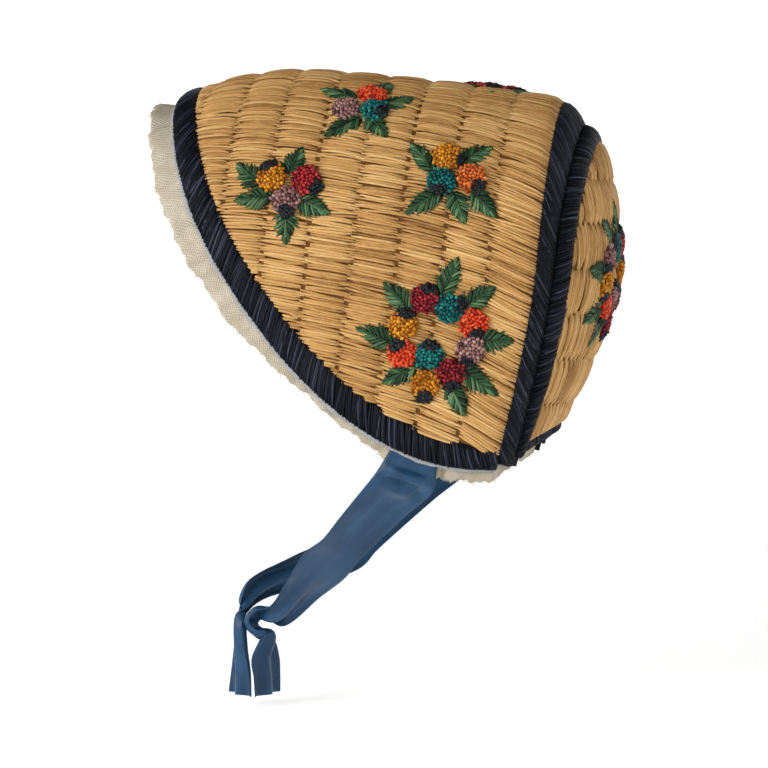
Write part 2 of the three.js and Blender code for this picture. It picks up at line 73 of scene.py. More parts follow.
def linear(tint: Tint) -> Colour:
    """Linear colour of a tint.

    Args:
        tint: Red, green and blue.

    Returns:
        The linear colour.
    """
    values = np.array(tint) / 255.0
    low = values / 12.92
    high = ((values + 0.055) / 1.055) ** 2.4
    return tuple(float(v) for v in np.where(values <= 0.04045, low, high))


def smoothstep(value: Array, low: float, high: float) -> Array:
    """Smooth rise from 0 at low to 1 at high."""
    share = np.clip((np.asarray(value, float) - low) / (high - low), 0.0, 1.0)
    return share * share * (3.0 - 2.0 * share)


def unit(vectors: Array) -> Array:
    """Vectors of length one along the last axis."""
    length = np.linalg.norm(vectors, axis=-1, keepdims=True)
    return vectors / np.maximum(length, 1e-9)


def run_along(points: Array) -> Array:
    """Length run up to each point of a line, or of several lines."""
    steps = np.linalg.norm(np.diff(points, axis=-2), axis=-1)
    return np.concatenate([np.zeros((*steps.shape[:-1], 1)), np.cumsum(steps, axis=-1)], axis=-1)


def waves(share: Array, table: tuple[Wave, ...]) -> Array:
    """Sum of the waves of a table along an edge."""
    return sum(height * np.sin(share * turns + phase) for height, turns, phase in table)


@dataclass(frozen=True)
class ArchedWall:
    """Surface over the top and down both sides: "along" runs back, "down" runs round the arch."""

    radius: float = 79.0
    front_y: float = -93.0
    lean: float = math.tan(math.radians(5.0))
    top_z: float = 2.0
    apex: float = 63.0
    front_drop: float = 8.8
    front_run: float = 52.7
    back_drop: float = 13.0
    back_run: float = 112.0
    back_power: float = 1.3
    depth: float = 197.5
    shoulder_length: float = 15.0
    shoulder_drop: float = 10.0
    shoulder_power: float = 2.2
    tuck: float = 0.05
    sweep: float = 13.3
    sweep_length: float = 102.0
    sweep_power: float = 1.5
    ease: float = 2.6
    ease_from: float = 25.0
    ease_to: float = 110.0
    band_from: float = 188.0

    @property
    def quarter(self) -> float:
        """Length of the arch from the top to where the straight wall begins."""
        return self.radius * math.pi / 2.0

    def top_drop(self, along: Array) -> Array:
        """Height lost along the top line.

        Args:
            along: Distance back from the front.

        Returns:
            Drops in millimetres.
        """
        away = np.abs(np.asarray(along, float) - self.apex)
        front = self.front_drop * (away / self.front_run) ** 2
        back = self.back_drop * (away / self.back_run) ** self.back_power
        return np.where(np.asarray(along) < self.apex, front, back)

    def shoulder(self, along: Array) -> Array:
        """Loss of radius on the rounded shoulder before the back seam."""
        past = np.maximum(0.0, np.asarray(along, float) - self.depth + self.shoulder_length)
        return self.shoulder_drop * (past / self.shoulder_length) ** self.shoulder_power

    def back_sweep(self, below: Array) -> Array:
        """Forward lean of the low part of the back seam."""
        return self.sweep * (np.asarray(below, float) / self.sweep_length) ** self.sweep_power

    def seam_ease(self, reach: Array) -> Array:
        """Loss of width of the seam band from the top to the sides."""
        return self.ease * smoothstep(reach, self.ease_from, self.ease_to)

    def point(self, along: Array, down: Array, out: Array) -> Array:
        """Points of the wall.

        Args:
            along: Distance back from the front.
            down: Distance round the arch from the middle, positive on the left.
            out: Distance outwards from the inside of the wall.

        Returns:
            Points in millimetres, with x, y and z on the last axis.
        """
        along, down, out = np.broadcast_arrays(*(np.asarray(v, float) for v in (along, down, out)))
        reach = np.abs(down)
        angle = np.minimum(reach, self.quarter) / self.radius
        below = np.maximum(0.0, reach - self.quarter)
        radius = self.radius - self.shoulder(along) + out
        fall = self.radius * (1.0 - np.cos(angle)) + below
        x = radius * np.sin(angle) - self.tuck * below
        band = np.clip((along - self.band_from) / (self.depth - self.band_from), 0.0, 1.0)
        y = self.front_y + along - self.lean * fall - self.back_sweep(below) * along / self.depth
        y = y - self.seam_ease(reach) * band
        z = self.top_z - self.top_drop(along) - self.radius + radius * np.cos(angle) - below
        return np.stack([np.sign(down) * x, y, z], axis=-1)

    def outward(self, along: Array, down: Array) -> Array:
        """Directions square to the wall, pointing away from the hollow.

        Args:
            along: Distance back from the front.
            down: Distance round the arch from the middle, positive on the left.

        Returns:
            Directions of length one.
        """
        step = 0.5
        ahead = self.point(along + step, down, 0.0) - self.point(along - step, down, 0.0)
        round_ = self.point(along, down + step, 0.0) - self.point(along, down - step, 0.0)
        return unit(np.cross(round_, ahead))


@dataclass(frozen=True)
class FrontEdge:
    """Front and lower edge of the wall, from -1 (right corner) over 0 (top) to 1 (left corner)."""

    low_along: float = 165.0
    low_down: float = 220.0
    low_share: float = 0.86
    power: float = 2.0 / 1.8
    corner_along: float = 196.5
    corner_rise: float = 4.0
    border: float = 13.6
    border_corner: float = 9.0
    narrow_from: float = 0.8
    border_end: float = 0.96
    top_inset: float = 2.2
    top_from: float = 0.2
    top_to: float = 0.6

    def place(self, share: Array) -> tuple[Array, Array]:
        """Along and down of the edge at each share.

        Args:
            share: Places along the edge, from -1 to 1.

        Returns:
            Along and down of each place.
        """
        reach = np.abs(share)
        angle = np.minimum(reach / self.low_share, 1.0) * math.pi / 2.0
        past = np.maximum(0.0, (reach - self.low_share) / (1.0 - self.low_share))
        sweep = self.low_along * (1.0 - np.maximum(0.0, np.cos(angle)) ** self.power)
        along = sweep + (self.corner_along - self.low_along) * past + self.top_narrowing(reach)
        down = self.low_down * np.sin(angle) - self.corner_rise * past * past
        return along, np.sign(share) * down

    def top_narrowing(self, share: Array) -> Array:
        """How much narrower the border is round the top."""
        return self.top_inset * (1.0 - smoothstep(np.abs(share), self.top_from, self.top_to))

    def inset(self, share: Array, inset: Array) -> tuple[Array, Array]:
        """The same places moved into the wall, square to the edge or up past the lowest point.

        Args:
            share: Places along the edge, from -1 to 1.
            inset: Distance from the edge.

        Returns:
            Along and down of each place.
        """
        step = 0.004
        share = np.asarray(share, float)
        before = self.place(share - step)
        after = self.place(share + step)
        along, down = self.place(share)
        run = after[0] - before[0]
        rise = np.where(np.abs(share) > self.low_share, 0.0, after[1] - before[1])
        length = np.hypot(run, rise)
        return along + inset * rise / length, down - inset * run / length

    def border_width(self, share: Array) -> Array:
        """Width of the navy border, narrower at the back corners."""
        fade = smoothstep(np.abs(share), self.narrow_from, self.border_end)
        return self.border + (self.border_corner - self.border) * fade - self.top_narrowing(share)

    def inner_limit(self, along: Array, gap: float) -> Array:
        """Lowest place of the natural raffia at each distance along, above the border.

        Args:
            along: Distance back from the front.
            gap: Gap between the border and the raffia.

        Returns:
            Distances down.
        """
        share = np.linspace(0.0, self.border_end, 200)
        line_along, line_down = self.inset(share, self.border_width(share) + gap)
        return np.interp(along, line_along, line_down, left=-1.0)


@dataclass(frozen=True)
class BackDome:
    """Domed back: x across and z up, standing behind the seam of the wall."""

    wall: ArchedWall
    bulge: float = 24.0
    power: float = 0.75
    low_reach: float = 92.0
    set_back: float = -0.2
    rim_share: float = 0.995
    arch_share: float = 0.5
    nape_corner: float = -180.0
    nape_rise: float = 8.5
    nape_half: float = 64.0

    @property
    def radius(self) -> float:
        """Radius of the dome's outline."""
        return self.wall.radius - self.wall.shoulder_drop

    @property
    def centre(self) -> float:
        """Height of the middle of the outline's arch."""
        return float(self.wall.top_z - self.wall.top_drop(self.wall.depth) - self.wall.radius)

    def depth(self, x: Array, z: Array) -> Array:
        """Depth of the dome's inside at each place.

        Args:
            x: Places across.
            z: Heights.

        Returns:
            The y of each place.
        """
        wall = self.wall
        below = np.maximum(0.0, self.centre - z)
        above = np.maximum(0.0, z - self.centre)
        half = self.radius - wall.tuck * below
        fall = wall.radius * (1.0 - above / self.radius) + below
        reach = wall.radius * np.arccos(np.minimum(above / self.radius, 1.0)) + below
        seam = wall.front_y + wall.depth - wall.lean * fall - wall.back_sweep(below)
        seam = seam - wall.seam_ease(reach)
        across = 1.0 - (x * x + above * above) / half**2
        fade = 1.0 - (below / self.low_reach) ** 2
        return seam + self.set_back + self.bulge * np.maximum(0.0, across * fade) ** self.power

    def outward(self, x: Array, z: Array) -> Array:
        """Directions square to the dome, pointing away from the hollow.

        Args:
            x: Places across.
            z: Heights.

        Returns:
            Directions of length one.
        """
        step = 0.25
        inward = np.where(x > 0.0, -step, step)
        drop = np.where(z > self.centre, -step, step)
        slope_x = (self.depth(x + inward, z) - self.depth(x, z)) / inward
        slope_z = (self.depth(x, z + drop) - self.depth(x, z)) / drop
        return unit(np.stack([-slope_x, np.ones_like(slope_x), -slope_z], axis=-1))

    def point(self, x: Array, z: Array, out: Array) -> Array:
        """Points of the dome, moved outwards square to its surface.

        Args:
            x: Places across.
            z: Heights.
            out: Distances outwards.

        Returns:
            Points in millimetres.
        """
        x, z, out = np.broadcast_arrays(*(np.asarray(v, float) for v in (x, z, out)))
        base = np.stack([x, self.depth(x, z), z], axis=-1)
        return base + self.outward(x, z) * out[..., None]

    def nape(self, x: Array) -> Array:
        """Height of the lower edge."""
        return self.nape_corner + self.nape_rise * (1.0 - (x / self.nape_half) ** 2)

    def rim(self, share: Array, inset: Array) -> tuple[Array, Array]:
        """Places on the rim, from -1 (right low corner) over the top to 1, moved in by inset.

        Args:
            share: Places along the rim.
            inset: Distance from the rim.

        Returns:
            The x and z of each place.
        """
        reach = np.abs(share)
        angle = np.minimum(reach / self.arch_share, 1.0) * math.pi / 2.0
        low = np.maximum(0.0, reach / self.arch_share - 1.0)
        radius = self.radius * self.rim_share - inset
        drop = low * (self.centre - self.nape_corner)
        z = self.centre + radius * np.cos(angle) - drop
        x = radius * np.sin(angle) - self.wall.tuck * drop
        return np.sign(share) * x, z


WALL = ArchedWall()
EDGE = FrontEdge()
DOME = BackDome(WALL)


@dataclass(frozen=True)
class Strands:
    """Bundle of single strands, each a closed tube with pointed or blunt ends.

    Attributes:
        centre: Centre lines in millimetres, strand by station by xyz.
        outward: Direction away from the ground at each station.
        half_width: Half width along the ground at each station.
        half_height: Half height above the ground at each station.
        tone: One number from 0 (dark) to 1 (light) for each strand.
    """

    centre: Array
    outward: Array
    half_width: Array
    half_height: Array
    tone: Array

    @classmethod
    def joined(cls, parts: list["Strands"]) -> "Strands":
        """One bundle of several with the same number of stations."""
        names = cls.__annotations__
        return cls(*(np.concatenate([getattr(part, name) for part in parts]) for name in names))

    def only(self, keep: Array) -> "Strands":
        """The strands that a mask keeps."""
        return Strands(*(getattr(self, name)[keep] for name in Strands.__annotations__))

    def mesh(self, name: str, sides: int) -> bpy.types.Mesh:
        """One joined mesh of all the strands.

        Args:
            name: Name of the mesh.
            sides: Number of sides of each tube.

        Returns:
            A closed, smooth mesh in metres with a tone attribute and a UV map in centimetres.
        """
        count, stations, _ = self.centre.shape
        tangent = unit(np.gradient(self.centre, axis=1))
        up = unit(self.outward - tangent * np.sum(self.outward * tangent, axis=-1, keepdims=True))
        aside = np.cross(tangent, up)
        phase = 2.0 * math.pi * (np.arange(sides) + 0.5) / sides
        across = self.half_width[..., None, None] * np.cos(phase)[:, None]
        above = self.half_height[..., None, None] * np.sin(phase)[:, None]
        ring = self.centre[:, :, None] + aside[:, :, None] * across + up[:, :, None] * above
        index = np.arange(count * stations * sides).reshape(count, stations, sides)
        first = index[:, :-1]
        second = index[:, 1:]
        quads = np.stack(
            [first, second, np.roll(second, -1, axis=2), np.roll(first, -1, axis=2)], axis=-1
        ).reshape(-1)
        caps = np.concatenate([index[:, 0], index[:, -1, ::-1]], axis=0).reshape(-1)
        quad_count = quads.size // 4
        starts = np.concatenate(
            [np.arange(quad_count) * 4, quads.size + np.arange(2 * count) * sides]
        )
        mesh = bpy.data.meshes.new(name)
        mesh.vertices.add(index.size)
        mesh.vertices.foreach_set("co", (ring.reshape(-1) * MM).astype(np.float32))
        mesh.loops.add(quads.size + caps.size)
        mesh.loops.foreach_set("vertex_index", np.concatenate([quads, caps]).astype(np.int32))
        mesh.polygons.add(starts.size)
        mesh.polygons.foreach_set("loop_start", starts.astype(np.int32))
        mesh.polygons.foreach_set("use_smooth", np.ones(starts.size, bool))
        mesh.update(calc_edges=True)
        tone = mesh.attributes.new(TONE_NAME, "FLOAT", "POINT")
        tone.data.foreach_set("value", np.repeat(self.tone, stations * sides).astype(np.float32))
        self._map(mesh, quads, caps, stations, sides)
        return mesh

    def _map(
        self, mesh: bpy.types.Mesh, quads: Array, caps: Array, stations: int, sides: int
    ) -> None:
        """Lays a UV map along and round each strand.

        Args:
            mesh: Mesh that gets the map.
            quads: Corner indices of the side faces.
            caps: Corner indices of the end faces.
            stations: Number of stations of each strand.
            sides: Number of sides of each strand.
        """
        run = run_along(self.centre) / MM_PER_UV
        shift = np.arange(len(run)) * UV_SHIFT
        corner = np.concatenate([quads, caps])
        strand = corner // (stations * sides)
        station = corner // sides % stations
        turn = (corner % sides).astype(float)
        wrapped = np.zeros(corner.size, bool)
        wrapped[: quads.size] = np.tile([False, False, True, True], quads.size // 4)
        turn[wrapped & (turn == 0)] = sides
        along = run[strand, station] + shift[strand] * UV_SHIFT_ALONG
        uv = np.stack([along, turn / sides + shift[strand]], axis=-1)
        layer = mesh.uv_layers.new(name=UV_NAME)
        layer.uv.foreach_set("vector", uv.astype(np.float32).reshape(-1))


def bent_sheet(
    name: str, across: int, rows: int, place: Callable[[Array, Array, Array], Array],
    size: Pair, tone: float = 0.5,
) -> bpy.types.Mesh:
    """Closed sheet bent from a flat slab.

    Args:
        name: Name of the mesh.
        across: Number of faces along u.
        rows: Number of faces along v.
        place: Gives points, in millimetres, from u, v and side, each between 0 and 1.
        size: Length along u and v, in millimetres, for the UV map.
        tone: Tone of the whole sheet.

    Returns:
        A closed, smooth mesh in metres. Side 0 has material index 1, and the rest has index 0.
    """
    shell = bmesh.new()
    layer = shell.loops.layers.uv.new(UV_NAME)
    level = shell.verts.layers.float.new(TONE_NAME)
    bmesh.ops.create_grid(shell, x_segments=across, y_segments=rows, size=0.5)
    grown = bmesh.ops.extrude_face_region(shell, geom=list(shell.faces), use_keep_orig=True)
    raised = [item for item in grown["geom"] if isinstance(item, bmesh.types.BMVert)]
    bmesh.ops.translate(shell, verts=raised, vec=(0.0, 0.0, 1.0))
    shell.verts.index_update()
    flat = np.array([vert.co for vert in shell.verts]) + np.array([0.5, 0.5, 0.0])
    for face in shell.faces:
        face.smooth = True
        face.material_index = 1 if all(vert.co.z < 0.5 for vert in face.verts) else 0
        for loop in face.loops:
            u, v, _ = flat[loop.vert.index]
            loop[layer].uv = (u * size[0] / MM_PER_UV, v * size[1] / MM_PER_UV)
    for vert, point in zip(shell.verts, place(*flat.T) * MM):
        vert.co = point
        vert[level] = tone
    bmesh.ops.recalc_face_normals(shell, faces=list(shell.faces))
    mesh = bpy.data.meshes.new(name)
    shell.to_mesh(mesh)
    shell.free()
    return mesh


class Shader:
    """Short hand for building one procedural material round a principled shader."""

    MIX_INPUTS = (0, 6, 7)
    MIX_RESULT = 2

    def __init__(self, name: str) -> None:
        """Starts an empty material with a principled shader.

        Args:
            name: Name of the material.
        """
        self.material = bpy.data.materials.new(name)
        self.material.use_nodes = True
        self.tree = self.material.node_tree
        self.bsdf = self.tree.nodes["Principled BSDF"]

    def node(self, kind: str, **inputs: object) -> bpy.types.Node:
        """Adds a node and sets its inputs or links them.

        Args:
            kind: Node type without its ShaderNode prefix.
            inputs: Values or output sockets by input name, with _ for a space.

        Returns:
            The new node.
        """
        made = self.tree.nodes.new("ShaderNode" + kind)
        for key, value in inputs.items():
            self.feed(made.inputs[key.replace("_", " ")], value)
        return made

    def feed(self, socket: Socket, value: object) -> None:
        """Links an output to a socket, or sets the socket's own value.

        Args:
            socket: Input of a node.
            value: Output of another node, or a value.
        """
        if isinstance(value, Socket):
            self.tree.links.new(value, socket)
        elif isinstance(value, tuple) and socket.type == "RGBA":
            socket.default_value = (*value, 1.0)
        else:
            socket.default_value = value

    def set(self, **inputs: object) -> None:
        """Sets or links inputs of the principled shader."""
        for key, value in inputs.items():
            self.feed(self.bsdf.inputs[key.replace("_", " ")], value)

    def math(self, operation: str, first: object, second: object = 0.0) -> Socket:
        """Result of a math node.

        Args:
            operation: Operation of the node.
            first: First value or output.
            second: Second value or output.

        Returns:
            The output.
        """
        made = self.tree.nodes.new("ShaderNodeMath")
        made.operation = operation
        self.feed(made.inputs[0], first)
        self.feed(made.inputs[1], second)
        return made.outputs[0]

    def tone(self) -> Socket:
        """The tone of each strand or sheet.

        Returns:
            The output.
        """
        made = self.tree.nodes.new("ShaderNodeAttribute")
        made.attribute_name = TONE_NAME
        return made.outputs["Fac"]

    def uv(self, scale: tuple[float, float, float]) -> Socket:
        """The piece's own UV map, scaled.

        Args:
            scale: Scale along, across and up.

        Returns:
            The output.
        """
        source = self.tree.nodes.new("ShaderNodeUVMap")
        source.uv_map = UV_NAME
        return self.node("Mapping", Vector=source.outputs[0], Scale=scale).outputs[0]

    def place(self) -> Socket:
        """Object coordinates."""
        return self.tree.nodes.new("ShaderNodeTexCoord").outputs["Object"]

    def noise(self, place: Socket, scale: float, **inputs: float) -> Socket:
        """Value of a noise texture."""
        return self.node("TexNoise", Vector=place, Scale=scale, **inputs).outputs["Fac"]

    def wave(self, value: Socket, turn: float) -> Socket:
        """Sine of a value times an angle."""
        return self.math("SINE", self.math("MULTIPLY", value, turn))

    def ramp(self, value: Socket, stops: tuple[float, ...], tints: tuple[Tint, ...]) -> Socket:
        """Colour ramp through tints at their stops.

        Args:
            value: Level from 0 to 1.
            stops: Levels at which the tints are pure.
            tints: Tints in the order of the stops.

        Returns:
            The output.
        """
        made = self.node("ValToRGB", Fac=value)
        elements = made.color_ramp.elements
        while len(elements) < len(stops):
            elements.new(0.5)
        for element, stop, tint in zip(elements, stops, tints):
            element.position = stop
            element.color = (*linear(tint), 1.0)
        return made.outputs[0]

    def mix(self, share: object, first: object, second: object, blend: str = "MIX") -> Socket:
        """Colour mix of two sockets or colours.

        Args:
            share: Share of the second colour.
            first: First colour or output.
            second: Second colour or output.
            blend: Way of blending.

        Returns:
            The output.
        """
        made = self.tree.nodes.new("ShaderNodeMix")
        made.data_type = "RGBA"
        made.blend_type = blend
        for number, value in zip(self.MIX_INPUTS, (share, first, second)):
            self.feed(made.inputs[number], value)
        return made.outputs[self.MIX_RESULT]

    def bump(self, height: Socket, strength: float, distance: float) -> None:
        """Bump from a height, with its distance in metres."""
        made = self.node("Bump", Height=height, Strength=strength, Distance=distance)
        self.set(Normal=made.outputs[0])


@dataclass(frozen=True)
class RaffiaFinish:
    """Dyed or natural raffia: fibres along the strand, tone from strand to strand."""

    name: str
    dark: Tint
    middle: Tint
    light: Tint
    roughness: float = 0.55
    specular: float = 0.22
    fibre: float = 0.6
    patch: float = 0.35
    lines: float = 9.0
    relief: float = 0.0003
    gloss: Pair = (0.25, 0.12)
    stops: tuple[float, float, float] = (0.08, 0.5, 0.92)

    def material(self) -> bpy.types.Material:
        """Builds the material.

        Returns:
            The material.
        """
        shader = Shader(self.name)
        lines = shader.uv((1.2, self.lines, 1.0))
        fibre = shader.noise(lines, 1.6, Detail=3.0, Roughness=0.65)
        patch = shader.noise(shader.place(), 26.0, Detail=2.0)
        level = shader.math("ADD", shader.tone(), shader.math("MULTIPLY", fibre, self.fibre))
        level = shader.math("ADD", level, shader.math("MULTIPLY", patch, self.patch))
        level = shader.math("SUBTRACT", level, 0.5 * (self.fibre + self.patch))
        rougher = shader.math("MULTIPLY", fibre, self.gloss[0])
        shader.set(
            Base_Color=shader.ramp(level, self.stops, (self.dark, self.middle, self.light)),
            Specular_IOR_Level=self.specular,
            Roughness=shader.math("ADD", rougher, self.roughness - self.gloss[1]),
        )
        shader.bump(fibre, 0.5, self.relief)
        return shader.material


@dataclass(frozen=True)
class ClothFinish:
    """Matt woven cloth with a small plain weave and speckles."""

    name: str
    base: Tint
    speck: Tint
    pitch: float = 0.8
    speckle: float = 0.35
    roughness: float = 0.85

    def material(self) -> bpy.types.Material:
        """Builds the material.

        Returns:
            The material.
        """
        shader = Shader(self.name)
        turns = MM_PER_UV / self.pitch
        threads = shader.node("SeparateXYZ", Vector=shader.uv((turns, turns, 1.0))).outputs
        warp, weft = (shader.wave(threads[k], 2.0 * math.pi) for k in range(2))
        weave = shader.math("MULTIPLY", warp, weft)
        grain = shader.noise(shader.place(), 900.0, Detail=2.0)
        specks = shader.math("MULTIPLY", shader.math("ADD", weave, grain), self.speckle)
        shader.set(
            Base_Color=shader.mix(specks, linear(self.base), linear(self.speck)),
            Roughness=self.roughness, Specular_IOR_Level=0.2,
        )
        shader.bump(weave, 0.4, 0.0002)
        return shader.material


@dataclass(frozen=True)
class NetFinish:
    """Fine cotton net: pale threads round small dark meshes, darker in soft patches as painted
    shade of its folds.
    """

    name: str
    thread: Tint
    hole: Tint
    pitch: float = 1.6
    drift: float = 0.12
    least: float = 0.35
    fold_shade: float = 1.9

    def material(self) -> bpy.types.Material:
        """Builds the material.

        Returns:
            The material.
        """
        shader = Shader(self.name)
        turns = MM_PER_UV / self.pitch
        plain = shader.uv((1.0, 1.0, 1.0))
        drift = shader.node("TexNoise", Vector=plain, Scale=1.4, Detail=2.0).outputs["Color"]
        bent = shader.mix(self.drift, plain, drift, "ADD")
        scaled = shader.node("Mapping", Vector=bent, Scale=(turns, turns, 1.0)).outputs[0]
        u, v, _ = shader.node("SeparateXYZ", Vector=scaled).outputs
        rising = shader.wave(shader.math("ADD", u, v), math.pi)
        falling = shader.wave(shader.math("SUBTRACT", u, v), math.pi)
        hole = shader.math("ABSOLUTE", shader.math("MULTIPLY", rising, falling))
        # Painted shade: noise patches darken the net like the shade in its folds.
        fold_shade = shader.noise(shader.place(), 170.0, Detail=4.0)
        fold_shade = shader.math("MULTIPLY", fold_shade, self.fold_shade)
        share = shader.math("MULTIPLY", shader.math("ADD", hole, self.least), fold_shade)
        shader.set(
            Base_Color=shader.mix(share, linear(self.thread), linear(self.hole)),
            Roughness=0.9, Specular_IOR_Level=0.1,
        )
        shader.bump(hole, 0.8, -0.0005)
        return shader.material


@dataclass(frozen=True)
class SatinFinish:
    """Satin ribbon: glossy across its fine weft, with soft lighter and darker streaks along it as
    painted sheen.
    """

    name: str
    dark: Tint
    base: Tint
    light: Tint
    sheen_streak: float = 0.8
    weft: float = 0.2
    weft_relief: float = 0.01
    stops: tuple[float, float, float] = (0.2, 0.5, 0.85)

    def material(self) -> bpy.types.Material:
        """Builds the material.

        Returns:
            The material.
        """
        shader = Shader(self.name)
        # Painted sheen: noise streaks along the ribbon move its colour between dark and light.
        sheen_streak = shader.noise(shader.uv((0.25, 0.9, 1.0)), 1.6, Detail=2.0)
        weft = shader.noise(shader.uv((30.0, 0.6, 1.0)), 3.0, Detail=2.0)
        crease = shader.noise(shader.uv((0.55, 0.4, 1.0)), 1.1, Detail=1.0)
        sheen_streaks = shader.math("MULTIPLY", sheen_streak, self.sheen_streak)
        level = shader.math("ADD", sheen_streaks, shader.math("MULTIPLY", weft, self.weft))
        shader.set(
            Base_Color=shader.ramp(level, self.stops, (self.dark, self.base, self.light)),
            Roughness=0.33, Specular_IOR_Level=0.24, Anisotropic=0.6,
            Sheen_Weight=0.04, Sheen_Roughness=0.35, Sheen_Tint=(0.6, 0.75, 1.0),
        )
        height = shader.math("ADD", crease, shader.math("MULTIPLY", weft, self.weft_relief))
        shader.bump(height, 0.35, 0.004)
        return shader.material


@dataclass(frozen=True)
class StudioFinish:
    """Plain pale floor that glows a little, like a lit backdrop."""

    name: str
    colour: Tint
    glow: float = 0.5
    shade: float = 0.985

    def material(self) -> bpy.types.Material:
        """Builds the material.

        Returns:
            The material.
        """
        shader = Shader(self.name)
        grain = shader.noise(shader.place(), 3.0, Detail=2.0)
        pale = linear(self.colour)
        darker = tuple(self.shade * channel for channel in pale)
        shader.set(
            Base_Color=shader.mix(grain, pale, darker), Roughness=0.9, Specular_IOR_Level=0.1,
            Emission_Color=pale, Emission_Strength=self.glow,
        )
        return shader.material


class Dye(Enum):
    """Dyes of the embroidery."""

    YELLOW = RaffiaFinish("dye_yellow", (126, 68, 6), (184, 114, 16), (214, 152, 44))
    RED = RaffiaFinish("dye_red", (98, 12, 18), (154, 32, 37), (196, 72, 68))
    ORANGE_RED = RaffiaFinish("dye_orange_red", (140, 28, 10), (204, 62, 28), (228, 104, 60))
    ORANGE = RaffiaFinish("dye_orange", (140, 58, 16), (200, 98, 40), (226, 140, 76))
    DARK_RED = RaffiaFinish("dye_dark_red", (58, 6, 12), (112, 16, 26), (160, 44, 48))
    MAUVE = RaffiaFinish("dye_mauve", (74, 46, 46), (132, 94, 92), (178, 138, 128))
    TEAL = RaffiaFinish("dye_teal", (0, 46, 48), (6, 92, 90), (36, 132, 122))
    BLACK = RaffiaFinish("dye_black", (5, 8, 10), (12, 17, 20), (34, 42, 46), roughness=0.45)
    LEAF = RaffiaFinish("dye_leaf", (14, 32, 18), (38, 70, 40), (92, 124, 84))


class Stuff(Enum):
    """Finishes of everything but the embroidery."""

    RAFFIA = RaffiaFinish(
        "natural_raffia", (122, 80, 36), (187, 142, 83), (214, 176, 117), fibre=1.0, patch=0.45,
        lines=4.6, relief=0.0008,
    )
    NAVY = RaffiaFinish(
        "navy_raffia", (8, 9, 15), (18, 20, 30), (66, 70, 86), roughness=0.46, specular=0.1
    )
    # Backing cloth: its own brown, set darker as painted shade for the gaps between the strands.
    GROUND = ClothFinish("brown_ground_and_gap_shade", (112, 74, 36), (84, 52, 24))
    NAVY_GROUND = ClothFinish("navy_ground", (10, 11, 18), (6, 7, 11))
    LINING = ClothFinish("natural_lining", (206, 188, 152), (176, 156, 118))
    FACING = ClothFinish("facing_cloth", (166, 167, 169), (106, 106, 107), pitch=0.9, speckle=0.6)
    NET = NetFinish("cotton_net", (217, 208, 192), (173, 161, 138))
    THREAD = ClothFinish("cotton_thread", (224, 214, 196), (204, 193, 172))
    SATIN = SatinFinish("steel_blue_satin", (18, 44, 68), (28, 61, 91), (46, 83, 116))
    FLOOR = StudioFinish("studio_floor", (252, 252, 252))


@cache
def material_of(finish: Dye | Stuff) -> bpy.types.Material:
    """The material of a finish, made when it is first asked for."""
    return finish.value.material()


class Slot(Enum):
    """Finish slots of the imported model, each with the plain word that ends a piece's name."""

    NATURAL_RAFFIA = "raffia"
    NAVY_RAFFIA = "strands"
    EMBROIDERY = "stitches"
    NET = "net"
    FACING_CLOTH = "cloth"
    SATIN = "ribbon"


@dataclass
class Piece:
    """One named piece of the bonnet, joined from sheets and bundles of strands.

    Attributes:
        node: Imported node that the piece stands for.
        slot: Its finish slot.
        parts: Its parts before they are joined.
    """

    node: str
    slot: Slot
    parts: list[bpy.types.Object] = field(default_factory=list)

    def add(self, mesh: bpy.types.Mesh, *finishes: Dye | Stuff) -> None:
        """Adds a mesh with the finishes of its material slots.

        Args:
            mesh: The mesh.
            finishes: Finishes in the order of its material slots.
        """
        for finish in finishes:
            mesh.materials.append(material_of(finish))
        part = bpy.data.objects.new(mesh.name, mesh)
        bpy.context.scene.collection.objects.link(part)
        self.parts.append(part)

    def finish(self, stands_for: bool = True) -> bpy.types.Object:
        """Joins the parts, sets them on the body and in place of their node.

        Args:
            stands_for: False for a piece that is laid over its node's main piece.

        Returns:
            The finished object, at the origin.
        """
        whole = self.parts[0]
        if len(self.parts) > 1:
            with bpy.context.temp_override(
                active_object=whole, object=whole, selected_objects=self.parts,
                selected_editable_objects=self.parts,
            ):
                bpy.ops.object.join()
        whole.name = f"{self.node}_{self.slot.value}"
        whole.data.name = whole.name
        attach(whole, BODY)
        if stands_for:
            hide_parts(self.node)
        triangles = sum(len(face.vertices) - 2 for face in whole.data.polygons)
        LOG.info("%s: %d triangles", whole.name, triangles)
        return whole


def strand_profile(stations: int, blunt: float, least: float = 0.3) -> tuple[Array, Array]:
    """Places along a strand and its width there.

    Args:
        stations: Number of stations.
        blunt: Power of the taper, larger for blunter ends.
        least: What the taper leaves at the ends.

    Returns:
        Shares from 0 to 1, closer near the ends, and widths up to 1.
    """
    even = np.linspace(-1.0, 1.0, stations)
    share = 0.5 + 0.5 * np.sin(even * math.pi / 2.0)
    width = np.maximum(least, 1.0 - np.abs(2.0 * share - 1.0) ** blunt) ** 0.8
    return share, width


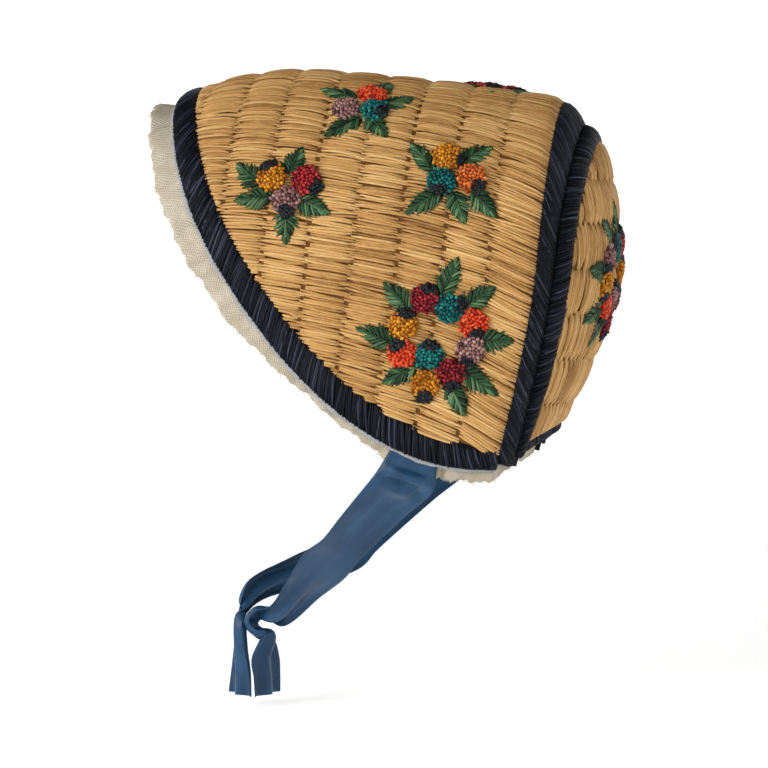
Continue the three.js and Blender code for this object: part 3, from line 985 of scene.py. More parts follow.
@dataclass(frozen=True)
class Stitches:
    """Long stitches of natural raffia: two strands through each pair of holes.

    Attributes:
        pitch: Distance between the holes along a seam.
        taper: Power of the strands' taper and what it leaves at the ends.
        low: Height of the strands in the seam.
        crest: How much higher they lie between the seams.
        climb: Distances from a strand's end between which it rises.
        zigzag: How far the holes stand aside of the seam, turn by turn.
        close: How close the two strands stay at a hole, as a share of their gap.
    """

    pitch: float = 2.5
    stations: int = 8
    taper: Pair = (9.0, 0.6)
    half_width: float = 0.8
    half_height: float = 0.62
    sizes: Pair = (0.84, 1.14)
    low: float = 1.0
    crest: float = 1.1
    climb: Pair = (-0.5, 3.2)
    zigzag: float = 1.15
    hole_scatter: float = 0.16
    gap_scatter: float = 0.12
    height_scatter: float = 0.2
    tone_scatter: float = 0.12
    tones: Pair = (0.02, 0.98)
    close: float = 0.9
    sway: float = 0.17
    sway_turns: Pair = (0.8, 2.0)
    cut_steps: int = 60

    def aside(self, share: Array, rng: Random, count: int) -> Array:
        """How far each strand lies aside of its stitch.

        Args:
            share: Places along the strands, from 0 to 1.
            rng: Source of the scatter.
            count: Number of strands.

        Returns:
            Distances in millimetres, strand by station.
        """
        turns = rng.uniform(*self.sway_turns, count)[:, None]
        phase = rng.uniform(0.0, 2.0, count)[:, None]
        wave = np.sin(math.pi * (share * turns + phase))
        return rng.normal(0.0, self.sway, count)[:, None] * wave * self.spread(share)

    def gaps(self, rng: Random, count: int) -> Array:
        """Half gaps between the two strands of each stitch, negative for the first strand."""
        half = self.pitch / 4.0 * rng.normal(1.0, self.gap_scatter, count)
        return np.tile([-1.0, 1.0], count // 2) * half

    def turned(self, order: Array) -> Array:
        """Shift of the holes to the one and the other side of the seam."""
        return self.zigzag * (1.0 - 2.0 * (order % 2))

    def spread(self, share: Array) -> Array:
        """How far the two strands stand apart, from the hole to the middle."""
        return self.close + (1.0 - self.close) * np.sin(math.pi * share) ** 0.6

    def cut(
        self, root: Array, tip: Array, inside: Callable[[Array], Array], length: float,
        shortest: float,
    ) -> tuple[Array, Array, Array]:
        """Cuts strands off where they leave their panel.

        Args:
            root: Where each strand begins, across the seams.
            tip: Where each strand ends.
            inside: Tells which places, strand by step, lie on the panel.
            length: Length of a whole stitch.
            shortest: Length below which a strand is left out.

        Returns:
            The new heads, the new tails and a mask of the strands that stay.
        """
        steps = np.linspace(0.0, 1.0, self.cut_steps)
        on_panel = inside(root[:, None] + (tip - root)[:, None] * steps)
        begin = np.where(on_panel, steps, 2.0).min(axis=1)
        end = np.where(on_panel, steps, -1.0).max(axis=1)
        keep = (end - begin) * length > shortest
        begin, end = np.where(keep, begin, 0.0), np.where(keep, end, 1.0)
        return root + (tip - root) * begin, root + (tip - root) * end, keep

    def height(self, rib: Array, run: Array, rng: Random) -> Array:
        """Height above the inside of the wall.

        Args:
            rib: Place between two seams, from 0 to 1, strand by station.
            run: Length of each strand.
            rng: Source of the scatter.

        Returns:
            Heights in millimetres.
        """
        share = strand_profile(self.stations, *self.taper)[0]
        own = np.minimum(share, 1.0 - share) * run[:, None]
        scatter = rng.normal(0.0, self.height_scatter, run.size)[:, None]
        rise = np.sin(math.pi * np.clip(rib, 0.0, 1.0)) ** 0.5 * smoothstep(own, *self.climb)
        return self.low + (self.crest + scatter) * rise

    def laid(
        self, surface: ArchedWall | BackDome, spot: tuple[Array, Array], out: Array, drift: Array,
        rng: Random,
    ) -> Strands:
        """Strands laid on a surface.

        Args:
            surface: Wall or dome.
            spot: Places on the surface, strand by station.
            out: Heights of the strands.
            drift: Slow change of the tone from strand to strand.
            rng: Source of the scatter.

        Returns:
            The strands.
        """
        size = rng.uniform(*self.sizes, drift.size)[:, None]
        tone = np.clip(0.5 + drift + rng.normal(0.0, self.tone_scatter, drift.size), *self.tones)
        width = strand_profile(self.stations, *self.taper)[1]
        half = (self.half_width * size * width, self.half_height * size * width)
        return Strands(surface.point(*spot, out), surface.outward(*spot), *half, tone)


STITCHES = Stitches()


@dataclass
class SidePanel:
    """Arched panel of natural raffia: ribbed columns of stitches on a brown ground."""

    columns: int = 8
    start: float = 20.4
    pitch: float = 20.9
    lowest: float = 212.0
    tuck: float = 0.6
    seed: int = 11
    slopes: tuple[float, ...] = (0.17, 0.17, 0.12, 0.07, 0.05, 0.06, 0.09, 0.15, 0.28)
    level_top: Pair = (4.0, 60.0)
    low_slope: float = 0.09
    low_from: Pair = (110.0, 200.0)
    frayed: float = 0.35
    slope_scatter: Pair = (0.028, 0.015)
    under: float = 1.2
    shortest: float = 1.5
    drifts: tuple[tuple[float, float, float], ...] = ((0.11, 1.9, 0.06), (0.037, 1.0, 0.06))
    ground_out: Pair = (0.2, 0.5)
    ground_under: Pair = (1.5, 1.2)
    ground_low: float = 1.0

    def slope(self, column: Array, down: Array) -> Array:
        """Turn of the strands away from level lines, down per along.

        Args:
            column: Number of each strand's column.
            down: Distance of each strand round the arch from the middle.

        Returns:
            The slopes.
        """
        side = np.sign(down) * smoothstep(np.abs(down), *self.level_top)
        low = self.low_slope * smoothstep(np.abs(down), *self.low_from)
        return side * (np.array(self.slopes)[column] + low)

    def strands(self) -> Strands:
        """All the strands, cut off where the border begins.

        Returns:
            The strands.
        """
        rng = np.random.default_rng(self.seed)
        holes = int(2.0 * self.lowest / STITCHES.pitch)
        places = holes * (self.columns + 1)
        column = np.repeat(np.repeat(np.arange(self.columns + 1), holes), 2)
        order = np.repeat(np.tile(np.arange(holes), self.columns + 1), 2)
        count = column.size
        middle = -self.lowest + (order + 0.5 * (column % 2)) * STITCHES.pitch
        middle = middle + np.repeat(rng.normal(0.0, STITCHES.hole_scatter, places), 2)
        first = self.start + (column - 1) * self.pitch
        zigzag = STITCHES.turned(order)
        root = first + zigzag - rng.uniform(0.0, self.frayed, count)
        tip = first + self.pitch + zigzag + rng.uniform(0.0, self.frayed, count)
        tip = np.where(column == self.columns, first + self.pitch + self.tuck, tip)
        turned = np.repeat(rng.normal(0.0, self.slope_scatter[0], places), 2)
        slope = self.slope(column, middle) + turned
        slope = slope + rng.normal(0.0, self.slope_scatter[1], count)
        gaps = STITCHES.gaps(rng, count)

        def run_down(along: Array) -> Array:
            """Distance down on each stitch's own line."""
            return middle[:, None] + slope[:, None] * (along - first[:, None] - self.pitch / 2.0)

        def inside(along: Array) -> Array:
            """Whether places lie above the border."""
            return np.abs(run_down(along)) < EDGE.inner_limit(along, -self.under)

        root, tip, keep = STITCHES.cut(root, tip, inside, self.pitch, self.shortest)
        share = strand_profile(STITCHES.stations, *STITCHES.taper)[0]
        along = root[:, None] + (tip - root)[:, None] * share
        down = run_down(along) + gaps[:, None] * STITCHES.spread(share)
        down = down + STITCHES.aside(share, rng, count)
        out = STITCHES.height((along - first[:, None]) / self.pitch, tip - root, rng)
        drift = sum(
            np.sin(middle * turn + column * by_column) * strength
            for turn, by_column, strength in self.drifts
        )
        return STITCHES.laid(WALL, (along, down), out, drift, rng).only(keep)

    def ground(self, u: Array, v: Array, side: Array) -> Array:
        """Brown ground under the strands, lined inside.

        Args:
            u: Place from the border to the seam band, from 0 to 1.
            v: Place from the right to the left lower edge, from 0 to 1.
            side: 0 for the lined face and 1 for the outer one.

        Returns:
            Points in millimetres.
        """
        share = np.abs(2.0 * v - 1.0)
        line = share * EDGE.low_share
        under_border, under_band = self.ground_under
        front_along, front_down = EDGE.inset(line, EDGE.border_width(line) - under_border)
        back_along = self.start + self.columns * self.pitch + under_band
        corner = np.array([EDGE.border_end])
        low_down = EDGE.inset(corner, EDGE.border_width(EDGE.border_end) + self.ground_low)[1]
        back_down = share * float(low_down[0])
        along = front_along + (back_along - front_along) * u
        down = np.abs(front_down) + (back_down - np.abs(front_down)) * u
        inner, thickness = self.ground_out
        return WALL.point(along, np.sign(v - 0.5) * down, inner + thickness * side)

    def build(self) -> None:
        """Makes the piece."""
        piece = Piece("side_panel", Slot.NATURAL_RAFFIA)
        piece.add(self.strands().mesh("side_panel", STRAND_SIDES), Stuff.RAFFIA)
        ground = bent_sheet("side_ground", 48, 72, self.ground, (180.0, 420.0))
        piece.add(ground, Stuff.GROUND, Stuff.LINING)
        piece.finish()


@dataclass
class BackPanel:
    """Domed back panel of natural raffia: level rows of upright stitches on a brown ground."""

    band: float = 7.6
    row: float = 21.0
    rows: int = 8
    overlap: float = 2.0
    under: float = 1.4
    nape_width: float = 5.4
    seed: int = 23
    lowest: float = 20.0
    frayed: float = 0.6
    lean_scatter: float = 0.03
    shortest: float = 2.5
    sink: float = 0.2
    drift: Pair = (0.2, 0.06)
    ground_under: float = 1.2
    ground_out: Pair = (0.15, 0.5)

    @property
    def half(self) -> float:
        """Half width of the rows, and their reach above the dome's centre."""
        return DOME.radius - self.band + self.overlap

    def holes(self) -> tuple[Array, Array]:
        """Place across and upper seam of each stitch, even over the dome's surface.

        Returns:
            The places across and the heights of the upper seams.
        """
        fine = np.linspace(-self.half, self.half, 400)
        middles, tops = [], []
        for row in range(self.rows):
            top = DOME.centre + self.half - row * self.row
            z = np.full(fine.size, max(top - self.row / 2.0, DOME.nape_corner + self.lowest))
            run = run_along(DOME.point(fine, z, np.zeros(fine.size)))
            marks = np.arange(0.5 * STITCHES.pitch * (row % 2), run[-1], STITCHES.pitch)
            middles.append(np.interp(marks, run, fine))
            tops.append(np.full(marks.size, top))
        return np.concatenate(middles), np.concatenate(tops)

    def strands(self) -> Strands:
        """All the strands, cut off at the rim band and at the nape border.

        Returns:
            The strands.
        """
        rng = np.random.default_rng(self.seed)
        middle, top = (np.repeat(values, 2) for values in self.holes())
        count = middle.size
        middle = middle + np.repeat(rng.normal(0.0, STITCHES.hole_scatter, count // 2), 2)
        zigzag = STITCHES.turned(np.arange(count) // 2)
        root = top + zigzag + rng.uniform(0.0, self.frayed, count)
        tip = top - self.row + zigzag - rng.uniform(0.0, self.frayed, count)
        lean = np.repeat(rng.normal(0.0, self.lean_scatter, count // 2), 2)
        gaps = STITCHES.gaps(rng, count)

        def across(z: Array) -> Array:
            """Place across on each stitch's own line."""
            return middle[:, None] + lean[:, None] * (z - top[:, None])

        def inside(z: Array) -> Array:
            """Whether places lie on the panel."""
            return self.inside(across(z), z)

        root, tip, keep = STITCHES.cut(root, tip, inside, self.row, self.shortest)
        share = strand_profile(STITCHES.stations, *STITCHES.taper)[0]
        z = root[:, None] + (tip - root)[:, None] * share
        facing = DOME.outward(middle, 0.5 * (root + tip))[:, 1]
        x = across(z) + (gaps * facing)[:, None] * STITCHES.spread(share)
        x = x + STITCHES.aside(share, rng, count) * facing[:, None]
        out = STITCHES.height((top[:, None] - z) / self.row, np.abs(tip - root), rng)
        drift = np.sin(middle * self.drift[0] + top) * self.drift[1]
        return STITCHES.laid(DOME, (x, z), out - self.sink, drift, rng).only(keep)

    def inside(self, x: Array, z: Array) -> Array:
        """Whether places lie within the rim band and above the nape border.

        Args:
            x: Places across.
            z: Heights.

        Returns:
            A mask of the places.
        """
        radius = DOME.radius * DOME.rim_share - self.band + self.under
        below = np.maximum(0.0, DOME.centre - z)
        above = np.maximum(0.0, z - DOME.centre)
        half = np.sqrt(np.maximum(0.0, radius**2 - above**2)) - WALL.tuck * below
        return (np.abs(x) < half) & (z > DOME.nape(x) + self.nape_width - self.under)

    def ground(self, u: Array, v: Array, side: Array) -> Array:
        """Brown ground under the strands, lined inside.

        Args:
            u: Place from the right to the left, from 0 to 1.
            v: Place from the rim to the nape, from 0 to 1.
            side: 0 for the lined face and 1 for the outer one.

        Returns:
            Points in millimetres.
        """
        half = np.abs(2.0 * u - 1.0)
        x, z_top = DOME.rim(half * DOME.arch_share, self.band - self.ground_under)
        low = DOME.nape(x) + self.nape_width - self.ground_under
        z = z_top + (low - z_top) * v
        tuck = WALL.tuck * np.maximum(0.0, DOME.centre - z) * half
        inner, thickness = self.ground_out
        return DOME.point(np.sign(u - 0.5) * (x - tuck), z, inner + thickness * side)

    def build(self) -> None:
        """Makes the piece."""
        piece = Piece("back_panel", Slot.NATURAL_RAFFIA)
        piece.add(self.strands().mesh("back_panel", STRAND_SIDES), Stuff.RAFFIA)
        ground = bent_sheet("back_ground", 48, 48, self.ground, (120.0, 140.0))
        piece.add(ground, Stuff.GROUND, Stuff.LINING)
        piece.finish()


@dataclass(frozen=True)
class LayerSizes:
    """Scatter and size of one layer of a navy band's strands.

    Attributes:
        seed: Added to the band's seed.
        place: Scatter of the strands along the band, in millimetres.
        late: Most by which a strand begins late, as a part of the width.
        early: Most by which a strand ends early.
        lean: Scatter of the slant, as a share of it.
        lift: How much higher the layer lies in the middle.
        size: Size of the strands, as a share of a full strand's.
    """

    seed: int
    place: float
    late: float
    early: float
    lean: float
    lift: float
    size: float


class Layer(Enum):
    """Layers of a navy band: close strands, and loose ones that lie higher, painted lighter as
    highlights.
    """

    CLOSE = LayerSizes(0, 0.2, 0.04, 0.06, 0.08, 0.0, 1.0)
    LOOSE = LayerSizes(1, 1.0, 0.19, 0.21, 0.18, 0.2, 0.65)


@dataclass
class Band:
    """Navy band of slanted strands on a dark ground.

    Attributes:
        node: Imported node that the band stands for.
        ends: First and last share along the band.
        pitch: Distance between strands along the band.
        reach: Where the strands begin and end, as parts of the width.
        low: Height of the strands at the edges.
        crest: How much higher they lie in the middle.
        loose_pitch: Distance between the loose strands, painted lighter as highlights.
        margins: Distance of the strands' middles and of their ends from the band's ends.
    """

    node: str
    seed: int
    surface: ArchedWall | BackDome
    ends: Pair = (-1.0, 1.0)
    pitch: float = 1.2
    reach: Pair = (-0.02, 1.03)
    low: float = 0.9
    crest: float = 1.4
    loose_pitch: float = 5.5
    ground_width: float = 1.02
    ground_from: float = 0.02
    ground_out: Pair = (0.1, 0.8)
    fine: int = 600
    margins: Pair = (0.6, 0.2)
    stations: int = 7
    blunt: float = 6.0
    half_width: float = 0.66
    half_height: float = 0.56
    sizes: Pair = (0.84, 1.16)
    height_scatter: float = 0.12
    close_tone: Pair = (0.4, 0.13)
    loose_highlight_tone: Pair = (0.55, 1.0)

    def spot(self, share: Array, part: Array) -> tuple[Array, Array]:
        """Place on the surface for a share of the length and a part of the width."""
        raise NotImplementedError

    def slant(self, share: Array) -> Array:
        """Shift along the band from its first to its second edge, in millimetres."""
        raise NotImplementedError

    def strands(self, pitch: float, layer: Layer) -> Strands:
        """One layer of strands.

        Args:
            pitch: Distance between strands along the band.
            layer: Which layer.

        Returns:
            The strands of the layer.
        """
        sizes = layer.value
        rng = np.random.default_rng(self.seed + sizes.seed)
        shares = np.linspace(*self.ends, self.fine)
        middles = self.spot(shares, np.full(self.fine, 0.5))
        run = run_along(self.surface.point(*middles, np.zeros(self.fine)))
        middle_margin, end_margin = self.margins
        marks = np.arange(middle_margin, run[-1] - middle_margin, pitch)
        count = marks.size
        marks = marks + rng.normal(0.0, sizes.place, count)
        share, width = strand_profile(self.stations, self.blunt)
        low = self.reach[0] + rng.uniform(0.0, sizes.late, count)
        high = self.reach[1] - rng.uniform(0.0, sizes.early, count)
        part = low[:, None] + (high - low)[:, None] * share
        lean = self.slant(np.interp(marks, run, shares)) * rng.normal(1.0, sizes.lean, count)
        places = marks[:, None] + lean[:, None] * (part - 0.5)
        along = np.interp(np.clip(places, end_margin, run[-1] - end_margin), run, shares)
        spot = self.spot(along, part)
        level = self.spot(along, np.clip(part, 0.02, 0.98))
        rise = np.sin(math.pi * np.clip(part, 0.0, 1.0)) ** 0.6
        scatter = rng.normal(0.0, self.height_scatter, count)[:, None] + sizes.lift
        height = self.low + (self.crest + scatter) * rise
        size = rng.uniform(*self.sizes, count)[:, None] * sizes.size
        if layer is Layer.CLOSE:
            tone = np.clip(rng.normal(*self.close_tone, count), 0.02, 1.0)
        else:
            # Painted highlight: the loose strands get light tones like glints on the navy.
            tone = rng.uniform(*self.loose_highlight_tone, count)
        half = (self.half_width * size * width, self.half_height * size * width)
        centre = self.surface.point(*spot, height)
        return Strands(centre, self.surface.outward(*level), *half, tone)

    def ground(self, u: Array, v: Array, side: Array) -> Array:
        """Dark ground under the strands.

        Args:
            u: Place along the band, from 0 to 1.
            v: Place across the band, from 0 to 1.
            side: 0 for the inner face and 1 for the outer one.

        Returns:
            Points in millimetres.
        """
        share = self.ends[0] + (self.ends[1] - self.ends[0]) * u
        inner, thickness = self.ground_out
        spot = self.spot(share, self.ground_from + self.ground_width * v)
        return self.surface.point(*spot, inner + thickness * side)

    def build(self) -> None:
        """Makes the piece."""
        piece = Piece(self.node, Slot.NAVY_RAFFIA)
        close = self.strands(self.pitch, Layer.CLOSE)
        loose = self.strands(self.loose_pitch, Layer.LOOSE)
        piece.add(close.mesh(self.node, STRAND_SIDES), Stuff.NAVY)
        piece.add(loose.mesh(self.node + "_loose", STRAND_SIDES), Stuff.NAVY)
        ground = bent_sheet(self.node + "_ground", 150, 4, self.ground, (400.0, 10.0))
        piece.add(ground, Stuff.NAVY_GROUND, Stuff.NAVY_GROUND)
        piece.finish()


class FrontBorder(Band):
    """Navy border along the front and lower edge."""

    def spot(self, share: Array, part: Array) -> tuple[Array, Array]:
        """Place on the wall, moved in from the edge."""
        return EDGE.inset(share, part * EDGE.border_width(share))

    def slant(self, share: Array) -> Array:
        """Strands lean towards the top, less so near the back."""
        tilt = 9.0 - 4.0 * smoothstep(np.abs(share), 0.6, 0.9)
        return -np.sign(share) * tilt * smoothstep(np.abs(share), 0.0, 0.05)


class SideSeamBand(Band):
    """Navy band that ends the arched panel at the back seam."""

    lowest = 215.0

    def spot(self, share: Array, part: Array) -> tuple[Array, Array]:
        """Place on the wall, from the last column to the seam."""
        return WALL.band_from + (WALL.depth - WALL.band_from) * part, share * self.lowest

    def slant(self, share: Array) -> Array:
        """Strands run steeply down towards the seam."""
        return 11.0 * np.sign(share) * smoothstep(np.abs(share), 0.0, 0.15)


class BackSeamBand(Band):
    """Navy band round the rim of the back panel."""

    width = 7.6

    def spot(self, share: Array, part: Array) -> tuple[Array, Array]:
        """Place on the dome, moved in from the rim."""
        return DOME.rim(share, part * self.width)

    def slant(self, share: Array) -> Array:
        """Strands rise away from the seam."""
        return -5.0 * np.sign(share) * smoothstep(np.abs(share), 0.0, 0.15)


class NapeBorder(Band):
    """Navy border along the nape."""

    width = 5.4
    half = float(DOME.rim(np.array([1.0]), 8.0)[0][0]) + 1.2

    def spot(self, share: Array, part: Array) -> tuple[Array, Array]:
        """Place on the dome, up from its lower edge."""
        x = share * self.half
        return x, DOME.nape(x) + part * self.width

    def slant(self, share: Array) -> Array:
        """Strands lean a little to one side."""
        return np.full_like(share, 3.0)


def bands() -> list[Band]:
    """The four navy bands.

    Returns:
        The bands, in the order in which they are made.
    """
    end = EDGE.border_end + 0.006
    return [
        FrontBorder("front_border", 31, WALL, ends=(-end, end)),
        SideSeamBand(
            "side_seam_band", 41, WALL, pitch=1.35, reach=(-0.04, 1.08), ground_width=1.18
        ),
        BackSeamBand("back_seam_band", 51, DOME, reach=(-0.05, 1.04)),
        NapeBorder("nape_border", 61, DOME),
    ]


@dataclass
class EdgeFacing:
    """Pale cloth that shows as a narrow rolled line outside the front border."""

    outside: float = 1.55
    inside: float = 9.0
    top: float = -0.35
    thickness: float = 0.9
    slack: float = 0.2
    uneven: tuple[Wave, ...] = ((0.12, 230.0, 0.0), (0.3, 71.0, 1.0))
    rolled: tuple[Wave, ...] = ((0.25, 90.0, 0.0),)

    def sheet(self, u: Array, v: Array, side: Array) -> Array:
        """Points of the cloth, slightly rolled at its free edge.

        Args:
            u: Place along the edge, from 0 to 1.
            v: Place from the free edge inwards, from 0 to 1.
            side: 0 for the inner face and 1 for the outer one.

        Returns:
            Points in millimetres.
        """
        share = EDGE.border_end * (2.0 * u - 1.0)
        outside = self.outside - self.slack + waves(share, self.uneven) * (1.0 - v)
        along, down = EDGE.inset(share, -outside + (self.inside + outside) * v)
        roll = waves(share, self.rolled) * (1.0 - v) ** 6
        return WALL.point(along, down, self.top + roll - self.thickness * (1.0 - side))

    def build(self) -> None:
        """Makes the piece."""
        piece = Piece("edge_facing", Slot.FACING_CLOTH)
        mesh = bent_sheet("edge_facing", 700, 8, self.sheet, (660.0, 10.3))
        piece.add(mesh, Stuff.FACING, Stuff.FACING)
        piece.finish()


@dataclass
class Ruffle:
    """Gathered net ruffle: flat where it is sewn in, waved and frayed at its free edge."""

    inside: float = 6.0
    top: float = -1.8
    room: float = 1.3
    thickness: float = 0.5
    wave: float = 3.2
    perk: float = 6.0
    perk_from: float = 0.45
    perk_fade: Pair = (0.06, 0.17)
    widths: tuple[Pair, ...] = (
        (0.0, 12.8), (0.12, 11.2), (0.3, 10.8), (0.46, 8.8), (0.56, 4.4), (0.64, 3.6), (0.74, 5.5),
        (0.92, 6.0), (0.96, 5.0), (1.0, 0.4),
    )
    uneven: tuple[Wave, ...] = ((0.5, 61.0, 0.0), (0.4, 143.0, 2.0), (0.3, 317.0, 0.0))
    gathers: tuple[Wave, ...] = ((1.0, 94.0, 0.0), (0.7, 151.0, 1.3), (0.4, 263.0, 0.4))
    gather_sum: float = 2.1
    fade: float = 0.03
    end: float = 0.999
    flat: Pair = (0.014, 0.8)
    threads: int = 1400
    seed: int = 71
    thread_half: float = 0.11
    thread_reach: Pair = (0.5, 1.7)
    thread_root: float = 0.6
    thread_sink: float = 0.25
    thread_bend: float = 0.005
    thread_lift: float = 0.3
    thread_tones: Pair = (0.3, 0.9)

    def width(self, share: Array) -> Array:
        """Width of the net outside the edge."""
        table = np.array(self.widths)
        return np.interp(np.abs(share), table[:, 0], table[:, 1]) + waves(share, self.uneven)

    def height(self, share: Array, part: Array) -> Array:
        """Distance outwards: waves, the perked top and room for the ties.

        Args:
            share: Places along the edge, from -1 to 1.
            part: Places from the sewn to the free edge, from 0 to 1.

        Returns:
            Distances in millimetres.
        """
        gathered = self.wave * part * (waves(share, self.gathers) / self.gather_sum - 1.0) / 2.0
        reach = np.abs(share)
        first, last = TIE_PLACE
        rise = smoothstep(reach, first - self.fade, first)
        fall = 1.0 - smoothstep(reach, last, last + self.fade)
        perked = self.perk * np.maximum(0.0, part - self.perk_from) / (1.0 - self.perk_from)
        perked = perked * (1.0 - smoothstep(reach, *self.perk_fade))
        return self.top + gathered - self.room * rise * fall + perked

    def sheet(self, u: Array, v: Array, side: Array) -> Array:
        """Points of the net.

        Args:
            u: Place along the edge, from 0 to 1.
            v: Place from the free to the sewn edge, from 0 to 1.
            side: 0 for the inner face and 1 for the outer one.

        Returns:
            Points in millimetres.
        """
        share = self.end * (2.0 * u - 1.0)
        width = self.width(share)
        along, down = EDGE.inset(share, -width + (self.inside + width) * v)
        out = self.height(share, 1.0 - v) - self.thickness * (1.0 - side)
        return WALL.point(along, down, out)

    def fray(self) -> Strands:
        """Short loose threads along the free edge.

        Returns:
            The threads.
        """
        rng = np.random.default_rng(self.seed)
        share = rng.uniform(-self.end, self.end, self.threads)
        part = np.linspace(0.0, 1.0, 4)
        reach = rng.uniform(*self.thread_reach, self.threads)[:, None]
        bend = rng.normal(0.0, self.thread_bend, self.threads)[:, None]
        spots = share[:, None] + bend * part
        width = self.width(share)[:, None] - self.thread_root + reach * part
        along, down = EDGE.inset(spots, -width)
        lift = rng.normal(0.0, self.thread_lift, self.threads)[:, None] * part
        out = self.height(spots, np.ones_like(spots)) - self.thread_sink + lift
        thin = np.full_like(spots, self.thread_half)
        tone = rng.uniform(*self.thread_tones, self.threads)
        return Strands(WALL.point(along, down, out), WALL.outward(along, down), thin, thin, tone)

    def build(self) -> None:
        piece = Piece("ruffle", Slot.NET)
        piece.add(bent_sheet("ruffle", 900, 10, self.sheet, (780.0, 17.0)), Stuff.NET, Stuff.NET)
        net = piece.finish()
        fringe = Piece("ruffle_fray", Slot.NET)
        fringe.add(self.fray().mesh("ruffle_fray", 3), Stuff.THREAD)
        loose = fringe.finish(stands_for=False)


@dataclass(frozen=True)
class Berry:
    """One berry of a motif: its place, its dye and the place of its black eye."""

    along: float
    down: float
    dye: Dye
    eye: Pair | None = None


@dataclass(frozen=True)
class Leaf:
    """One leaf of a motif, from its root to its tip."""

    root: Pair
    tip: Pair


@dataclass(frozen=True)
class Design:
    """Berries and leaves round a motif's centre."""

    berries: tuple[Berry, ...]
    leaves: tuple[Leaf, ...]


def dyed(places: tuple[tuple[Pair, Pair | None], ...], *dyes: Dye) -> tuple[Berry, ...]:
    """Berries at their places and those of their eyes, each with its dye."""
    return tuple(Berry(*berry, dye, eye) for (berry, eye), dye in zip(places, dyes))


SPRAY_BERRIES = (
    ((-7.5, -6), (-9.5, -11.5)), ((9, -5.5), (14, -2.5)), ((0.5, 4.5), (1.5, 9.5)),
)
SPRAY_LEAVES = (
    Leaf((-14, -4), (-25, -14)), Leaf((1, -10), (5, -22)), Leaf((-8, 3), (-24, 4)),
    Leaf((9, 4), (22, 9)), Leaf((1.5, 11), (2.5, 24.5)),
)
FRONT_SPRAY = Design(dyed(SPRAY_BERRIES, Dye.YELLOW, Dye.RED, Dye.MAUVE), SPRAY_LEAVES)
TOP_SPRAY = Design(dyed(SPRAY_BERRIES, Dye.DARK_RED, Dye.DARK_RED, Dye.RED), SPRAY_LEAVES)
CROWN_SPRAY = Design(
    dyed(
        (((3, -10), None), ((-7, 3), None), ((6.5, 2), (10.5, 3))),
        Dye.ORANGE_RED, Dye.MAUVE, Dye.TEAL,
    ),
    (
        Leaf((-6, -6.5), (-21.5, -12)), Leaf((6, -15), (9, -26)), Leaf((12, -4), (23, -12)),
        Leaf((-1, 9), (-14.5, 21)), Leaf((6, 8), (15, 18)),
    ),
)
BACK_SPRAY = Design(
    dyed(
        (((-3, -11.5), (4, -10.5)), ((-4, 1), (-4.5, 5)), ((9.5, -2.5), (13.5, 1.5))),
        Dye.YELLOW, Dye.TEAL, Dye.ORANGE,
    ),
    (
        Leaf((-10, -6), (-21, -17)), Leaf((5, -11), (17, -21)), Leaf((-5, 6.5), (-19, 18)),
        Leaf((3, 7), (9, 19)), Leaf((12, 5), (23, 14)),
    ),
)
WREATH_BERRIES = (
    ((-10, -20), (-9, -25)), ((2, -17), (7.5, -19.5)), ((14, -12), (16, -7)),
    ((14.5, 0), (14.5, 6)), ((8, 11.5), (9.5, 17.5)), ((-3, 18.5), (-2.5, 24)),
    ((-4, 5), (-4, 0.5)), ((-16.5, 6), (-19, 2.5)), ((-18, -7), (-17.5, -12.5)),
)
WREATH_LEAVES = (
    Leaf((-17, -15), (-30, -25)), Leaf((-2, -24), (3, -41)), Leaf((9, -19), (21.5, -30)),
    Leaf((20, -5), (34, -7)), Leaf((14, 10), (32, 18.5)), Leaf((9, 18), (18.5, 30)),
    Leaf((-11, 12), (-23.5, 21)), Leaf((-22, 2), (-40, -3)),
)
SIDE_WREATH = Design(
    dyed(
        WREATH_BERRIES, Dye.DARK_RED, Dye.TEAL, Dye.ORANGE_RED, Dye.MAUVE, Dye.DARK_RED,
        Dye.YELLOW, Dye.TEAL, Dye.ORANGE_RED, Dye.YELLOW,
    ),
    WREATH_LEAVES,
)
BACK_WREATH = Design(
    dyed(
        WREATH_BERRIES, Dye.RED, Dye.TEAL, Dye.MAUVE, Dye.YELLOW, Dye.ORANGE_RED,
        Dye.DARK_RED, Dye.MAUVE, Dye.DARK_RED, Dye.YELLOW,
    ),
    WREATH_LEAVES,
)


def spiral(
    centre: Pair, radius: float, count: int, scatter: Array | float = 1.0, start: float = 0.0
) -> tuple[Array, Array]:
    """Places spread evenly over a disc.

    Args:
        centre: Centre of the disc.
        radius: Radius of the disc.
        count: Number of places.
        scatter: Share by which each place lies nearer or further out.
        start: Angle of the first place.

    Returns:
        The places along and down.
    """
    order = np.arange(count)
    far = radius * np.sqrt((order + 0.4) / count) * scatter
    turn = order * GOLDEN_ANGLE + start
    return centre[0] + far * np.cos(turn), centre[1] + far * np.sin(turn)


